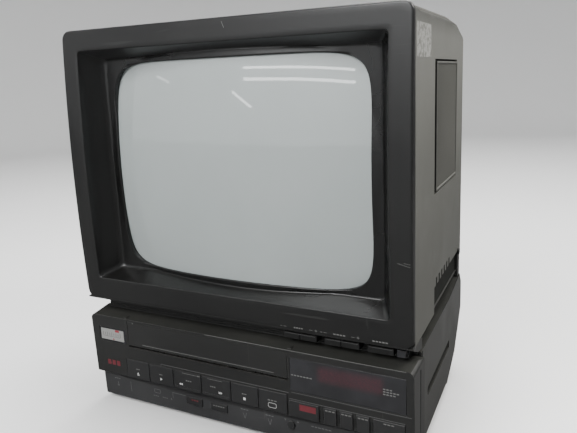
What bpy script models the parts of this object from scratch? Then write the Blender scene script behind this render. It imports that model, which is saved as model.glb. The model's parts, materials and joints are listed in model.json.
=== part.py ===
"""A television and video recorder combo: a 14 inch set with a tapered cabinet on a ridged neck,
over a front-loading recorder. Metres, +Z up, front towards -Y, feet on z = 0.

Every piece hangs from one empty on the front plane, so depths (the y values below) are measured
back from the face of the bezel and heights (z) up from the table."""

import math

import bmesh
import bpy
from mathutils import Matrix, Vector

for old in list(bpy.data.objects):
    bpy.data.objects.remove(old, do_unlink=True)

# Fits and cuts
GAP = 0.0003
SLACK = 0.00035
RUNNING = 0.0005
OVERRUN = 0.002
MERGE = 0.000002

# Whole object
FRONT_PLANE = -0.180
CASE_HALF = 0.1873
SIDE_TAPER_DEG = 6.0
WALL = 0.0025
ROUND_STEPS = 28
SMALL_STEPS = 12
SHARP_ANGLE = math.radians(30.0)

# Feet
FOOT_HEIGHT = 0.005
FOOT_RADIUS = 0.009
FOOT_SOLE_share = 0.9
FOOT_INSET = 0.0573
FOOT_X = CASE_HALF - FOOT_INSET
FOOT_FRONT = 0.050
FOOT_REAR = 0.150

# Recorder case, seen from the side
CASE_FRONT = 0.0303
CASE_LOW = 0.016
CASE_TOP = 0.110
CASE_REAR = 0.262
SLOPE_START = 0.172
SLOPE_MID = 0.221
SLOPE_MID_Z = 0.0335
SLOPE_END_Z = 0.073
REAR_RISE = 0.007
RISE_START = 0.182
RISE_END = 0.220
REAR_CHAMFER = 0.011
GROOVE_LOW = 0.0525
GROOVE_HEIGHT = 0.009
GROOVE_DEPTH = 0.0015
GROOVE_START = 0.060
GROOVE_END = 0.180

# Base pan
PAN_FLOOR = 0.0053
PAN_WALL = 0.002
PAN_CHAMFER = 0.024
PAN_TOP = CASE_LOW - GAP
POST_RADIUS = 0.004
POST_INSET = 0.012
POST_FRONT = 0.065
POST_REAR = 0.150

# Recorder fascia
FASCIA_PROUD = 0.0002
FASCIA_HALF = CASE_HALF + FASCIA_PROUD
FASCIA_BOTTOM = 0.005
FASCIA_TOP_DROP = 0.0044
FASCIA_TOP = CASE_TOP - FASCIA_TOP_DROP
FASCIA_EDGE_DROP = 0.0024
FASCIA_EDGE_Z = FASCIA_TOP - FASCIA_EDGE_DROP
FASCIA_TOP_SLOPE = 0.020
FASCIA_DEPTH = 0.030
FASCIA_lean_share = 0.0286
STEP_TOP_Z = 0.0345
STEP_LOW_Z = 0.0315
STEP_DEPTH = 0.0045
STRIP_LEAN = 0.001
STRIP_INSET = 0.005
FASCIA_END_WALL = 0.0025
LIP = 0.0015

# Cassette door and its hole
BAY_X = -0.0364
DOOR_HALF = 0.09865
DOOR_SIDE_GAP = 0.0005
DOOR_HOLE_HALF = DOOR_HALF + DOOR_SIDE_GAP
DOOR_HOLE_LOW = 0.0712
DOOR_HOLE_TOP = 0.101
DOOR_LOW = 0.0735
DOOR_FRONT = 0.0005
DOOR_THICK = 0.0018
DOOR_TOP_GAP = 0.0005
HINGE_Y = 0.0041
HINGE_DROP = 0.0018
HINGE_Z = DOOR_HOLE_TOP - HINGE_DROP
PIN_RADIUS = 0.0012
PIN_REACH = 0.0030
EAR = 0.003
LUG = 0.0035
LUG_GAP = 0.0008

# Windows in the fascia
DISPLAY_FROM_DOOR = 0.00275
DISPLAY_FROM_END = 0.0072
DISPLAY_LEFT = BAY_X + DOOR_HOLE_HALF + DISPLAY_FROM_DOOR
DISPLAY_RIGHT = FASCIA_HALF - DISPLAY_FROM_END
DISPLAY_LOW = 0.062
DISPLAY_TOP = 0.0955
SCALE_FROM_END = 0.0105
SCALE_FROM_DOOR = 0.00395
SCALE_LEFT = SCALE_FROM_END - FASCIA_HALF
SCALE_RIGHT = BAY_X - DOOR_HOLE_HALF - SCALE_FROM_DOOR
SCALE_LOW = 0.0735
SCALE_TOP = 0.0895
WINDOW_BACK = 0.0015
WINDOW_RIM = 0.001
BOARD = 0.0016

# Row of six keys under the door
KEYS_REACH_LEFT = 0.1056
KEYS_REACH_RIGHT = 0.0975
KEYS_LEFT = BAY_X - KEYS_REACH_LEFT
KEYS_RIGHT = BAY_X + KEYS_REACH_RIGHT
KEYS_LOW = 0.035
KEYS_TOP = 0.056
KEY_SEAM = 0.0007
KEY_PROUD = 0.0006
LIP_THICK = 0.00225
KEY_END_shares = (0.0, 0.158, 0.319, 0.499, 0.6785, 0.839, 1.0)

# Timer keys
TIMER_LOW = 0.035
TIMER_TOP = 0.0515
TIMER_PROUD = 0.0012
TIMER_SEAM = 0.0023
TIMER_FROM_END = 0.00855
TIMER_LEFT = KEYS_RIGHT + TIMER_SEAM
TIMER_RIGHT = FASCIA_HALF - TIMER_FROM_END
TIMER_END_shares = ((0.0, 0.2735), (0.3185, 0.4284), (0.4608, 0.5707), (0.6032, 0.7131), (0.7456, 1.0))

# Keys and knob in the lower strip
RECORD_REACH = 0.0191
RECORD_X = BAY_X - RECORD_REACH
RECORD_WIDTH = 0.021
PAUSE_REACH = 0.01265
PAUSE_X = BAY_X + PAUSE_REACH
PAUSE_WIDTH = 0.0205
LOWER_KEY_LOW = 0.0165
LOWER_KEY_TOP = 0.0252
LOWER_PROUD = 0.001
KNOB_REACH = 0.0984
KNOB_X = BAY_X + KNOB_REACH
KNOB_Z = 0.0222
KNOB_RADIUS = 0.0042
KNOB_PROUD = 0.0022
KNOB_STEM = 0.0022

# Bezel
BEZEL_PROUD = 0.0002
BEZEL_HALF = CASE_HALF + BEZEL_PROUD
BEZEL_RISE = 0.013
BEZEL_HEIGHT = 0.285
BEZEL_LOW = CASE_TOP + BEZEL_RISE
BEZEL_TOP = BEZEL_LOW + BEZEL_HEIGHT
BEZEL_CORNER = 0.009
BEZEL_BULGE = 0.005
BEZEL_FLANGE = 0.0032
BEZEL_DEPTH = 0.030
BEZEL_WALL = 0.0025
CHIN_INSET = 0.0025
CHIN_HALF = BEZEL_HALF - CHIN_INSET
CHIN_Y = 0.019
CHIN_DROP = 0.0085
CHIN_LOW = BEZEL_LOW - CHIN_DROP
BOSS_RADIUS = 0.005

# Screen recess
SCREEN_RISE = 0.0012
SCREEN_Z = (BEZEL_LOW + BEZEL_TOP) / 2 + SCREEN_RISE
RECESS_RISE = 0.0008
BORDER_SIDE = 0.0209
BORDER_TOP = 0.02325
RECESS_SLOPE_SIDE = 0.01315
RECESS_SLOPE_TOP = 0.008
RECESS_HALF = BEZEL_HALF - BORDER_SIDE
RECESS_HALF_HEIGHT = BEZEL_HEIGHT / 2 - BORDER_TOP
RIM_HALF = RECESS_HALF - RECESS_SLOPE_SIDE
RIM_HALF_HEIGHT = RECESS_HALF_HEIGHT - RECESS_SLOPE_TOP
RIM_DEPTH = 0.0224
MASK_SIDE = 0.01025
MASK_TOP = 0.0039
GLASS_HALF = RIM_HALF - MASK_SIDE
GLASS_HALF_HEIGHT = RIM_HALF_HEIGHT - MASK_TOP
SCREEN_power_share = 7.0

# Television cabinet, seen from the side
TV_FRONT = 0.0035
TV_BASE_RISE = 0.001
TV_TOP_DROP = 0.0027
TV_BASE = BEZEL_LOW + TV_BASE_RISE
TV_TOP = BEZEL_TOP - TV_TOP_DROP
TV_REAR = 0.250
TV_FALL_START = 0.153
TV_FALL_MID = 0.210
TV_FALL_MID_DROP = 0.0034
TV_FALL_END_DROP = 0.0134
TV_RISE_START = 0.181
TV_RISE = 0.0195
HUMP_SIDE = 0.0693
HUMP_LIFT = 0.041
HUMP_DROP = 0.0453
HUMP_LENGTH = 0.115
HUMP_HALF = CASE_HALF - HUMP_SIDE
HUMP_LOW = TV_BASE + HUMP_LIFT
HUMP_TOP = TV_TOP - HUMP_DROP
HUMP_REAR = TV_REAR + HUMP_LENGTH
HUMP_REAR_HALF = 0.070
HUMP_REAR_BELOW = 0.0617
HUMP_REAR_ABOVE = 0.0633
HUMP_REAR_LOW = SCREEN_Z - HUMP_REAR_BELOW
HUMP_REAR_TOP = SCREEN_Z + HUMP_REAR_ABOVE
NOTCH_FRONT = 0.090
NOTCH_REAR_ROOM = 0.010
NOTCH_HEIGHT = 0.0265
NOTCH_REAR = TV_REAR - NOTCH_REAR_ROOM
NOTCH_TOP = TV_BASE + NOTCH_HEIGHT
NOTCH_DEPTH = 0.010
VENT_WIDTH = 0.0035
VENT_HEIGHT = 0.012
VENT_PITCH = 0.010
VENT_COUNT = 6
SLIT_WIDTH = 0.003
SLIT_LENGTH = 0.050
SLIT_PITCH = 0.009
SLIT_COUNT = 12

# Picture tube
FACE_RADIUS = 0.600
FACE_DEPTH = 0.005
MASK_GAP = 0.001
MASK_THICK = 0.0015
TUBE_MARGIN_SIDE = 0.0198
TUBE_MARGIN_TOP = 0.01965
TUBE_HALF = GLASS_HALF + TUBE_MARGIN_SIDE
TUBE_HALF_HEIGHT = GLASS_HALF_HEIGHT + TUBE_MARGIN_TOP
BOSS_MARGIN = 0.007
BOSS_X = TUBE_HALF + BOSS_MARGIN
BOSS_RISE = TUBE_HALF_HEIGHT
TUBE_RIM_BACK = 0.062
GLASS_THICK = 0.012
FUNNEL_THICK = 0.004
NECK_RADIUS = 0.0146
NECK_START = 0.215
NECK_END_ROOM = 0.020
NECK_END = HUMP_REAR - NECK_END_ROOM
BAND_FRONT_LEAD = 0.018
BAND_BACK_LEAD = 0.002
BAND_FRONT = TUBE_RIM_BACK - BAND_FRONT_LEAD
BAND_BACK = TUBE_RIM_BACK - BAND_BACK_LEAD
BAND_ARM_share = 0.75
BAND_ARM_DROP = 0.0049
BAND_THICK = 0.0012
EAR_PLATE = 0.002
EAR_RADIUS = 0.007

# Yoke and neck board
YOKE_FRONT_LEAD = 0.019
YOKE_BACK_LAG = 0.037
YOKE_FRONT = NECK_START - YOKE_FRONT_LEAD
YOKE_BACK = NECK_START + YOKE_BACK_LAG
YOKE_STEP = 0.0084
YOKE_FLARE = 0.02771
YOKE_THROAT = 0.01781
YOKE_THROAT_DEPTH = 0.0105
YOKE_RADIUS = 0.034
YOKE_FLANGE = 0.046
YOKE_CLEAR = 0.0004
SOCKET_RADIUS = 0.019
SOCKET_LENGTH = 0.016
NECK_BOARD_HALF = 0.034

# Board and transformer in the set
TV_BOARD_SIDE = 0.0623
TV_BOARD_HALF = CASE_HALF - TV_BOARD_SIDE
TV_BOARD_FRONT = 0.066
TV_BOARD_BACK = 0.176
TV_BOARD_RISE = 0.006
TV_BOARD_Z = TV_BASE + TV_BOARD_RISE
FLYBACK_X = -0.080
FLYBACK_Y = 0.142
FLYBACK_SIZE = 0.040
FLYBACK_HEIGHT = 0.050
FLYBACK_CORE_HEIGHT = 0.035
FLYBACK_CAN = 0.013

# Loudspeaker and grille
GRILLE_Y = 0.1475
GRILLE_RISE = 0.0363
GRILLE_Z = SCREEN_Z + GRILLE_RISE
GRILLE_LENGTH = 0.121
GRILLE_HEIGHT = 0.122
GRILLE_THICK = 0.003
GRILLE_FRAME = 0.004
GRILLE_SLOT = 0.0018
GRILLE_PITCH = 0.0045
SPEAKER_RADIUS = 0.048
SPEAKER_FLANGE = 0.003
CONE_DEPTH = 0.018
MAGNET_RADIUS = 0.024
MAGNET_DEPTH = 0.014

# Keys under the bezel
ROCKER_Y = 0.009
ROCKER_DEPTH = 0.0095
ROCKER_BELOW = 0.0035
ROCKER_ABOVE = 0.0029
ROCKER_LOW = CHIN_LOW - ROCKER_BELOW
ROCKER_TOP = CHIN_LOW + ROCKER_ABOVE
ROCKER_LENGTH = 0.0348
ROCKER_SPACE = 0.008
ROCKER_NOTCH = 0.0025
PIVOT_Y = 0.015
PIVOT_HEIGHT = 0.0030
OPERATE_WIDTH = 0.0243
OPERATE_TRAVEL = 0.002
STEM_WIDTH = 0.006
LENS_FROM_END = 0.0121
LENS_SPACE = 0.003
LENS_WIDTH = 0.0078
LENS_X = CHIN_HALF - LENS_FROM_END
OPERATE_X = LENS_X - LENS_WIDTH / 2 - LENS_SPACE - OPERATE_WIDTH / 2
CHANNEL_X = OPERATE_X - OPERATE_WIDTH / 2 - ROCKER_SPACE - ROCKER_LENGTH / 2
VOLUME_X = CHANNEL_X - ROCKER_LENGTH - ROCKER_SPACE

# Rear fittings
SOCKET_INSET = 0.0493
SOCKET_RISE = 0.081
SOCKET_X = CASE_HALF - SOCKET_INSET
SOCKET_Z = TV_BASE + SOCKET_RISE
AERIAL_RADIUS = 0.0056
GLAND_RADIUS = 0.0062
FITTING_FLANGE = 0.003
FITTING_REACH = 0.008
GLAND_BORE = 0.0032
AERIAL_BORE = 0.0018
SCREW_INSET = 0.0473
SCREW_DROP = 0.0293
SCREW_RISE = 0.0475
SCREW_X = CASE_HALF - SCREW_INSET
SCREW_TOP_Z = TV_TOP - SCREW_DROP
SCREW_LOW_Z = TV_BASE + SCREW_RISE
SCREW_HEAD = 0.004
SCREW_HEAD_HEIGHT = 0.002
SCREW_SHANK = 0.0016
SCREW_LENGTH = 0.012

# Neck between the set and the recorder
NECK_SIDE = 0.0018
NECK_HALF = CASE_HALF - NECK_SIDE
NECK_FRONT = 0.020
NECK_LIFT = 0.0004
NECK_LOW = FASCIA_TOP + NECK_LIFT
NECK_INSET = 0.012
NECK_BACK = 0.178
RIDGE = 0.0006
RIDGE_COUNT = 3

# Deck
DECK_Z = 0.036
DECK_THICK = 0.0015
DECK_MARGIN_LEFT = 0.0166
DECK_MARGIN_RIGHT = 0.0359
TRAY_HALF = 0.097
DECK_LEFT = BAY_X - TRAY_HALF - DECK_MARGIN_LEFT
DECK_RIGHT = BAY_X + TRAY_HALF + DECK_MARGIN_RIGHT
DECK_FRONT = 0.055
DECK_BACK = 0.215
GUIDE_TOP = 0.100
GUIDE_THICK = 0.002
GUIDE_FRONT = 0.056
GUIDE_BACK = 0.164
TRAY_LOW = 0.0695
TRAY_TOP = 0.102
TRAY_FRONT = 0.031
TRAY_LENGTH = 0.100
TRAY_WALL = 0.0015
TRAY_LEDGE = 0.018
CARRIAGE_THICK = 0.0015
CARRIAGE_LOW = 0.058
CARRIAGE_TOP = 0.1045
LOAD_IN = 0.025
LOAD_DOWN = 0.016
GUIDE_PIN = 0.0015
TRAY_PIN_Z = 0.085
CARRIAGE_PIN_Z = 0.064
PIN_INSET = 0.028
REEL_SPACING = 0.092
REEL_Y = 0.107
REEL_LOW = 0.050
REEL_TOP = 0.066
REEL_RADIUS = 0.020
REEL_HUB = 0.006
REEL_POST = 0.002
REEL_FLANGE = 0.004
DRUM_Y = 0.188
DRUM_RADIUS = 0.031
DRUM_TILT_DEG = 5.0
DRUM_FOOT = 0.026
DRUM_SPLIT = 0.070
DRUM_TOP = 0.089
DRUM_CHAMFER = 0.0062
DRUM_CHAMFER_HEIGHT = 0.0019
DRUM_SHAFT = 0.003
CAPSTAN_REACH = 0.0614
CAPSTAN_X = BAY_X + CAPSTAN_REACH
CAPSTAN_Y = 0.168
CAPSTAN_RADIUS = 0.0025
CAPSTAN_TOP = 0.090
FLYWHEEL_RADIUS = 0.022
FLYWHEEL_LOW = 0.0255
FLYWHEEL_TOP = 0.0325
ARM_REACH = 0.0884
ARM_X = BAY_X + ARM_REACH
ARM_Y = 0.184
ARM_LENGTH = 0.0223
ARM_REST_DEG = 196.6
ARM_LOW = 0.052
ARM_THICK = 0.004
ARM_HALF = 0.0035
ARM_HUB = 0.00455
ARM_END = 0.00385
ROLLER_RADIUS = 0.006
ROLLER_HEIGHT = 0.015
ROLLER_POST = 0.0014
ARM_POST = 0.002
CAM_SPACE = 0.0209
CAM_X = BAY_X + TRAY_HALF + CAM_SPACE
CAM_Y = 0.095
CAM_LOW = 0.041
CAM_RADIUS = 0.0125
CAM_TOOTH = 0.0015
CAM_TEETH = 24
CAM_HEIGHT = 0.005
MOTOR_SHIFT = 0.0025
MOTOR_X = CAM_X + MOTOR_SHIFT
MOTOR_Z = 0.0505
MOTOR_FRONT = 0.132
MOTOR_LENGTH = 0.032
MOTOR_RADIUS = 0.0115
MOTOR_SHAFT = 0.0015
MOTOR_SHAFT_LENGTH = 0.009
SADDLE_DEPTH = 0.005

# Boards and transformer in the recorder
VCR_BOARD_INSET = 0.022
VCR_BOARD_REACH = 0.0214
VCR_BOARD_LEFT = DECK_LEFT + VCR_BOARD_INSET
VCR_BOARD_RIGHT = BAY_X + VCR_BOARD_REACH
VCR_BOARD_FRONT = 0.045
VCR_BOARD_BACK = 0.150
VCR_BOARD_Z = 0.0140
BOARD_POST = 0.003
BOARD_POST_INSET = 0.006
MAINS_SPACE = 0.0055
MAINS_Y = 0.100
MAINS_WIDTH = 0.042
MAINS_X = DECK_RIGHT + MAINS_SPACE + MAINS_WIDTH / 2
MAINS_DEPTH = 0.034
MAINS_HEIGHT = 0.036
MAINS_COIL = 0.046
DISPLAY_BOARD_Y = 0.0135
BOARD_MARGIN = 0.003

TAPER = math.tan(math.radians(SIDE_TAPER_DEG))

PARTS = bpy.data.collections.new("tv_and_video_recorder")
CUTTERS = bpy.data.collections.new("cutters")
bpy.context.scene.collection.children.link(PARTS)
bpy.context.scene.collection.children.link(CUTTERS)

ORIGIN = bpy.data.objects.new("front_plane_at_table_height", None)
ORIGIN.location = (0.0, FRONT_PLANE, 0.0)
PARTS.objects.link(ORIGIN)


def half_width(depth):
    """Half the width of the tapered cabinet at a depth behind the front plane."""
    return CASE_HALF - TAPER * depth


# Helpers: each returns a hidden helper solid, and make() turns one into a part

def helper(name, mesh, parent=ORIGIN):
    obj = bpy.data.objects.new(name, mesh)
    CUTTERS.objects.link(obj)
    obj.hide_render = True
    obj.display_type = "WIRE"
    obj.parent = parent
    return obj


def block(name, x, y, z):
    """A box between two values on each axis."""
    centre = Vector([(ends[0] + ends[1]) / 2 for ends in (x, y, z)])
    size = [abs(ends[1] - ends[0]) for ends in (x, y, z)]
    mesh = bpy.data.meshes.new(name)
    form = bmesh.new()
    bmesh.ops.create_cube(form, size=1.0)
    bmesh.ops.scale(form, vec=size, verts=form.verts)
    form.to_mesh(mesh)
    form.free()
    obj = helper(name, mesh)
    obj.location = centre
    return obj


def tapered_block(name, y, z, half):
    """A box whose half width at each corner is half(y, z)."""
    mesh = bpy.data.meshes.new(name)
    form = bmesh.new()
    bmesh.ops.create_cube(form, size=1.0)
    for vert in form.verts:
        depth = y[0] if vert.co.y < 0 else y[1]
        height = z[0] if vert.co.z < 0 else z[1]
        vert.co = (math.copysign(half(depth, height), vert.co.x), depth, height)
    bmesh.ops.triangulate(form, faces=form.faces)
    form.to_mesh(mesh)
    form.free()
    return helper(name, mesh)


def frustum(name, front, back):
    """A four-sided block from one rectangle to another, each given as y, half width, low z, top z."""
    mesh = bpy.data.meshes.new(name)
    form = bmesh.new()
    bmesh.ops.create_cube(form, size=1.0)
    for vert in form.verts:
        depth, half, low, top = front if vert.co.y < 0 else back
        vert.co = (math.copysign(half, vert.co.x), depth, low if vert.co.z < 0 else top)
    bmesh.ops.triangulate(form, faces=form.faces)
    form.to_mesh(mesh)
    form.free()
    return helper(name, mesh)


def rod(name, radius, start, end, steps=SMALL_STEPS, end_radius=None):
    """A cylinder, or a cone where end_radius differs, between two points."""
    start = Vector(start)
    end = Vector(end)
    mesh = bpy.data.meshes.new(name)
    form = bmesh.new()
    bmesh.ops.create_cone(form, cap_ends=True, segments=steps, radius1=radius,
                          radius2=radius if end_radius is None else end_radius,
                          depth=(end - start).length)
    bmesh.ops.triangulate(form, faces=form.faces)
    form.to_mesh(mesh)
    form.free()
    obj = helper(name, mesh)
    obj.location = (start + end) / 2
    obj.rotation_euler = (end - start).to_track_quat("Z", "Y").to_euler()
    return obj


def baked(obj):
    """The object's evaluated shape as a plain closed mesh, in place of the object."""
    bpy.context.view_layer.update()
    graph = bpy.context.evaluated_depsgraph_get()
    mesh = bpy.data.meshes.new_from_object(obj.evaluated_get(graph))
    form = bmesh.new()
    form.from_mesh(mesh)
    bmesh.ops.remove_doubles(form, verts=form.verts, dist=MERGE)
    bmesh.ops.triangulate(form, faces=form.faces)
    bmesh.ops.recalc_face_normals(form, faces=form.faces)
    form.to_mesh(mesh)
    form.free()
    solid = helper(obj.name + "_solid", mesh)
    solid.matrix_world = obj.matrix_world
    bpy.data.objects.remove(obj, do_unlink=True)
    return solid


AXES = {
    "x": Matrix(((0, 0, 1), (1, 0, 0), (0, 1, 0))),
    "y": Matrix(((1, 0, 0), (0, 0, -1), (0, 1, 0))),
    "z": Matrix.Identity(3),
}


def slab(name, outlines, axis, near, far, turn=0.0, pivot=(0.0, 0.0, 0.0)):
    """Flat outlines (the first outside, the rest holes) given a thickness from near to far.

    Along x the outline reads (y, z), along y it reads (x, z), and along z it reads (x, y)."""
    curve = bpy.data.curves.new(name, "CURVE")
    curve.dimensions = "2D"
    curve.fill_mode = "BOTH"
    curve.extrude = abs(far - near) / 2
    for outline in outlines:
        spline = curve.splines.new("POLY")
        spline.points.add(len(outline) - 1)
        for point, (across, up) in zip(spline.points, outline):
            point.co = (across, up, 0.0, 1.0)
        spline.use_cyclic_u = True
    obj = helper(name, curve)
    shift = Vector([(near + far) / 2 if letter == axis else 0.0 for letter in "xyz"])
    spin = Matrix.Rotation(turn, 4, "Z")
    place = Matrix.Translation(Vector(pivot)) @ spin @ Matrix.Translation(shift) @ AXES[axis].to_4x4()
    obj.matrix_local = place
    return baked(obj)


def turned(name, profile, start, direction, steps=ROUND_STEPS):
    """A closed profile of (radius, distance along the axis) turned about an axis."""
    mesh = bpy.data.meshes.new(name)
    points = [(radius, 0.0, along) for radius, along in profile]
    edges = [(i, (i + 1) % len(points)) for i in range(len(points))]
    mesh.from_pydata(points, edges, [])
    obj = helper(name, mesh)
    screw = obj.modifiers.new("Turn", "SCREW")
    screw.steps = steps
    screw.render_steps = steps
    screw.use_merge_vertices = True
    screw.merge_threshold = MERGE
    obj.location = start
    obj.rotation_euler = Vector(direction).to_track_quat("Z", "Y").to_euler()
    return baked(obj)


def loft(name, rings):
    """A closed skin through rings of equally many points, each end drawn to a single point."""
    mesh = bpy.data.meshes.new(name)
    form = bmesh.new()
    made = [[form.verts.new(point) for point in ring] for ring in rings]
    for ring, following in zip(made, made[1:]):
        count = max(len(ring), len(following))
        for i in range(count):
            j = (i + 1) % count
            corners = [ring[i % len(ring)], ring[j % len(ring)],
                       following[j % len(following)], following[i % len(following)]]
            form.faces.new(list(dict.fromkeys(corners)))
    bmesh.ops.recalc_face_normals(form, faces=form.faces)
    form.to_mesh(mesh)
    form.free()
    return helper(name, mesh)


def boolean(target, operation, tools):
    for tool in tools:
        modifier = target.modifiers.new(operation.title() + " " + tool.name, "BOOLEAN")
        modifier.operation = operation
        modifier.solver = "EXACT"
        modifier.object = tool
    return target


def cut(target, *tools):
    return boolean(target, "DIFFERENCE", tools)


def join(target, *tools):
    return boolean(target, "UNION", tools)


def common(target, *tools):
    return boolean(target, "INTERSECT", tools)


def soften(obj, width, segments=2):
    bevel = obj.modifiers.new("Soft edges", "BEVEL")
    bevel.width = width
    bevel.segments = segments
    bevel.limit_method = "ANGLE"
    return obj


def make(obj, name, look, pivot=None, parent=ORIGIN):
    """Turns a helper solid into a part with its own material, its origin on its pivot."""
    obj.name = name
    obj.data.name = name
    CUTTERS.objects.unlink(obj)
    PARTS.objects.link(obj)
    obj.hide_render = False
    obj.display_type = "TEXTURED"
    if pivot is not None:
        obj.data.transform(Matrix.Translation(Vector(pivot)).inverted() @ obj.matrix_basis)
        obj.matrix_basis = Matrix.Translation(Vector(pivot))
    material = bpy.data.materials.new(name)
    material.use_nodes = True
    colour, roughness, metallic = look
    shader = material.node_tree.nodes["Principled BSDF"]
    shader.inputs["Base Color"].default_value = (*colour, 1.0)
    shader.inputs["Roughness"].default_value = roughness
    shader.inputs["Metallic"].default_value = metallic
    obj.data.materials.clear()
    obj.data.materials.append(material)
    return obj


# Looks: colour, roughness, metallic
CHARCOAL = ((0.036, 0.036, 0.037), 0.38, 0.0)
COVER_GREY = ((0.115, 0.115, 0.105), 0.55, 0.0)
RECORDER_BLACK = ((0.030, 0.030, 0.031), 0.42, 0.0)
KEY_BLACK = ((0.040, 0.040, 0.042), 0.35, 0.0)
SMOKED = ((0.010, 0.010, 0.011), 0.08, 0.0)
TUBE_GREY = ((0.36, 0.39, 0.38), 0.06, 0.0)
STEEL = ((0.45, 0.45, 0.46), 0.35, 1.0)
ZINC = ((0.60, 0.60, 0.58), 0.30, 1.0)
BRIGHT = ((0.75, 0.75, 0.76), 0.12, 1.0)
COPPER = ((0.55, 0.24, 0.10), 0.40, 0.8)
BOARD_BROWN = ((0.30, 0.20, 0.09), 0.60, 0.0)
RUBBER = ((0.015, 0.015, 0.015), 0.80, 0.0)
NYLON = ((0.70, 0.69, 0.64), 0.45, 0.0)


def rectangle(low_across, high_across, low_up, high_up):
    return [(low_across, low_up), (high_across, low_up), (high_across, high_up), (low_across, high_up)]


def superellipse(half, half_height, power, count=ROUND_STEPS + 8):
    """Points round a rounded, slightly bowed rectangle; power 2 is an ellipse."""
    points = []
    for i in range(count):
        angle = 2 * math.pi * i / count
        across = math.copysign(abs(math.cos(angle)) ** (2 / power), math.cos(angle))
        up = math.copysign(abs(math.sin(angle)) ** (2 / power), math.sin(angle))
        points.append((half * across, half_height * up))
    return points


def raised(points, rise):
    return [(across, up + rise) for across, up in points]


def face_depth(across, up, radius=FACE_RADIUS):
    """Depth of a sphere about the tube's face centre of curvature."""
    return FACE_DEPTH + FACE_RADIUS - math.sqrt(radius ** 2 - across ** 2 - up ** 2)


# Television: bezel

def face_lens(name, radius):
    """Everything behind a sphere about the tube face's centre, out past the tube's corners."""
    reach = math.hypot(TUBE_HALF, TUBE_HALF_HEIGHT)
    steps = 5
    profile = []
    for i in range(steps + 1):
        out = reach * (steps - i) / steps
        profile.append((out, face_depth(out, 0.0, radius)))
    profile.append((0.0, TUBE_RIM_BACK + OVERRUN))
    profile.append((reach, TUBE_RIM_BACK + OVERRUN))
    return turned(name, profile, (0.0, 0.0, SCREEN_Z), (0.0, 1.0, 0.0), 2 * ROUND_STEPS - 5)


def recess_block(name, grow, front, back):
    """The four-sided funnel of the screen recess, grown by a wall, run from one depth to another."""
    middle = SCREEN_Z + RECESS_RISE
    half_lean = (RECESS_HALF - RIM_HALF) / RIM_DEPTH
    height_lean = (RECESS_HALF_HEIGHT - RIM_HALF_HEIGHT) / RIM_DEPTH
    ends = []
    for depth in (front, back):
        half = RECESS_HALF - half_lean * depth + grow
        height = RECESS_HALF_HEIGHT - height_lean * depth + grow
        ends.append((depth, half, middle - height, middle + height))
    return frustum(name, *ends)


def bezel_outline(half, low, top, corner):
    """A rectangle in (x, z) with round top corners."""
    steps = 4
    points = [(-half, low), (half, low)]
    for i in range(steps + 1):
        angle = math.pi / 2 * i / steps
        points.append((half - corner + corner * math.cos(angle), top - corner + corner * math.sin(angle)))
    for i in range(steps + 1):
        angle = math.pi / 2 * (1 + i / steps)
        points.append((corner - half + corner * math.cos(angle), top - corner + corner * math.sin(angle)))
    return points


def bezel_side(steps=8):
    """The bezel's side profile in (y, z): a front that bulges forward at half height."""
    points = []
    for i in range(steps + 1):
        share = i / steps
        points.append((-4 * BEZEL_BULGE * share * (1 - share), BEZEL_LOW + share * (BEZEL_TOP - BEZEL_LOW)))
    points.append((BEZEL_FLANGE, BEZEL_TOP))
    points.append((BEZEL_FLANGE, BEZEL_LOW))
    return points


def key_slot(name, centre, width, back):
    half = width / 2 + RUNNING
    return block(name, (centre - half, centre + half), (0.0, back),
                 (CHIN_LOW - OVERRUN, ROCKER_TOP + RUNNING))


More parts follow.
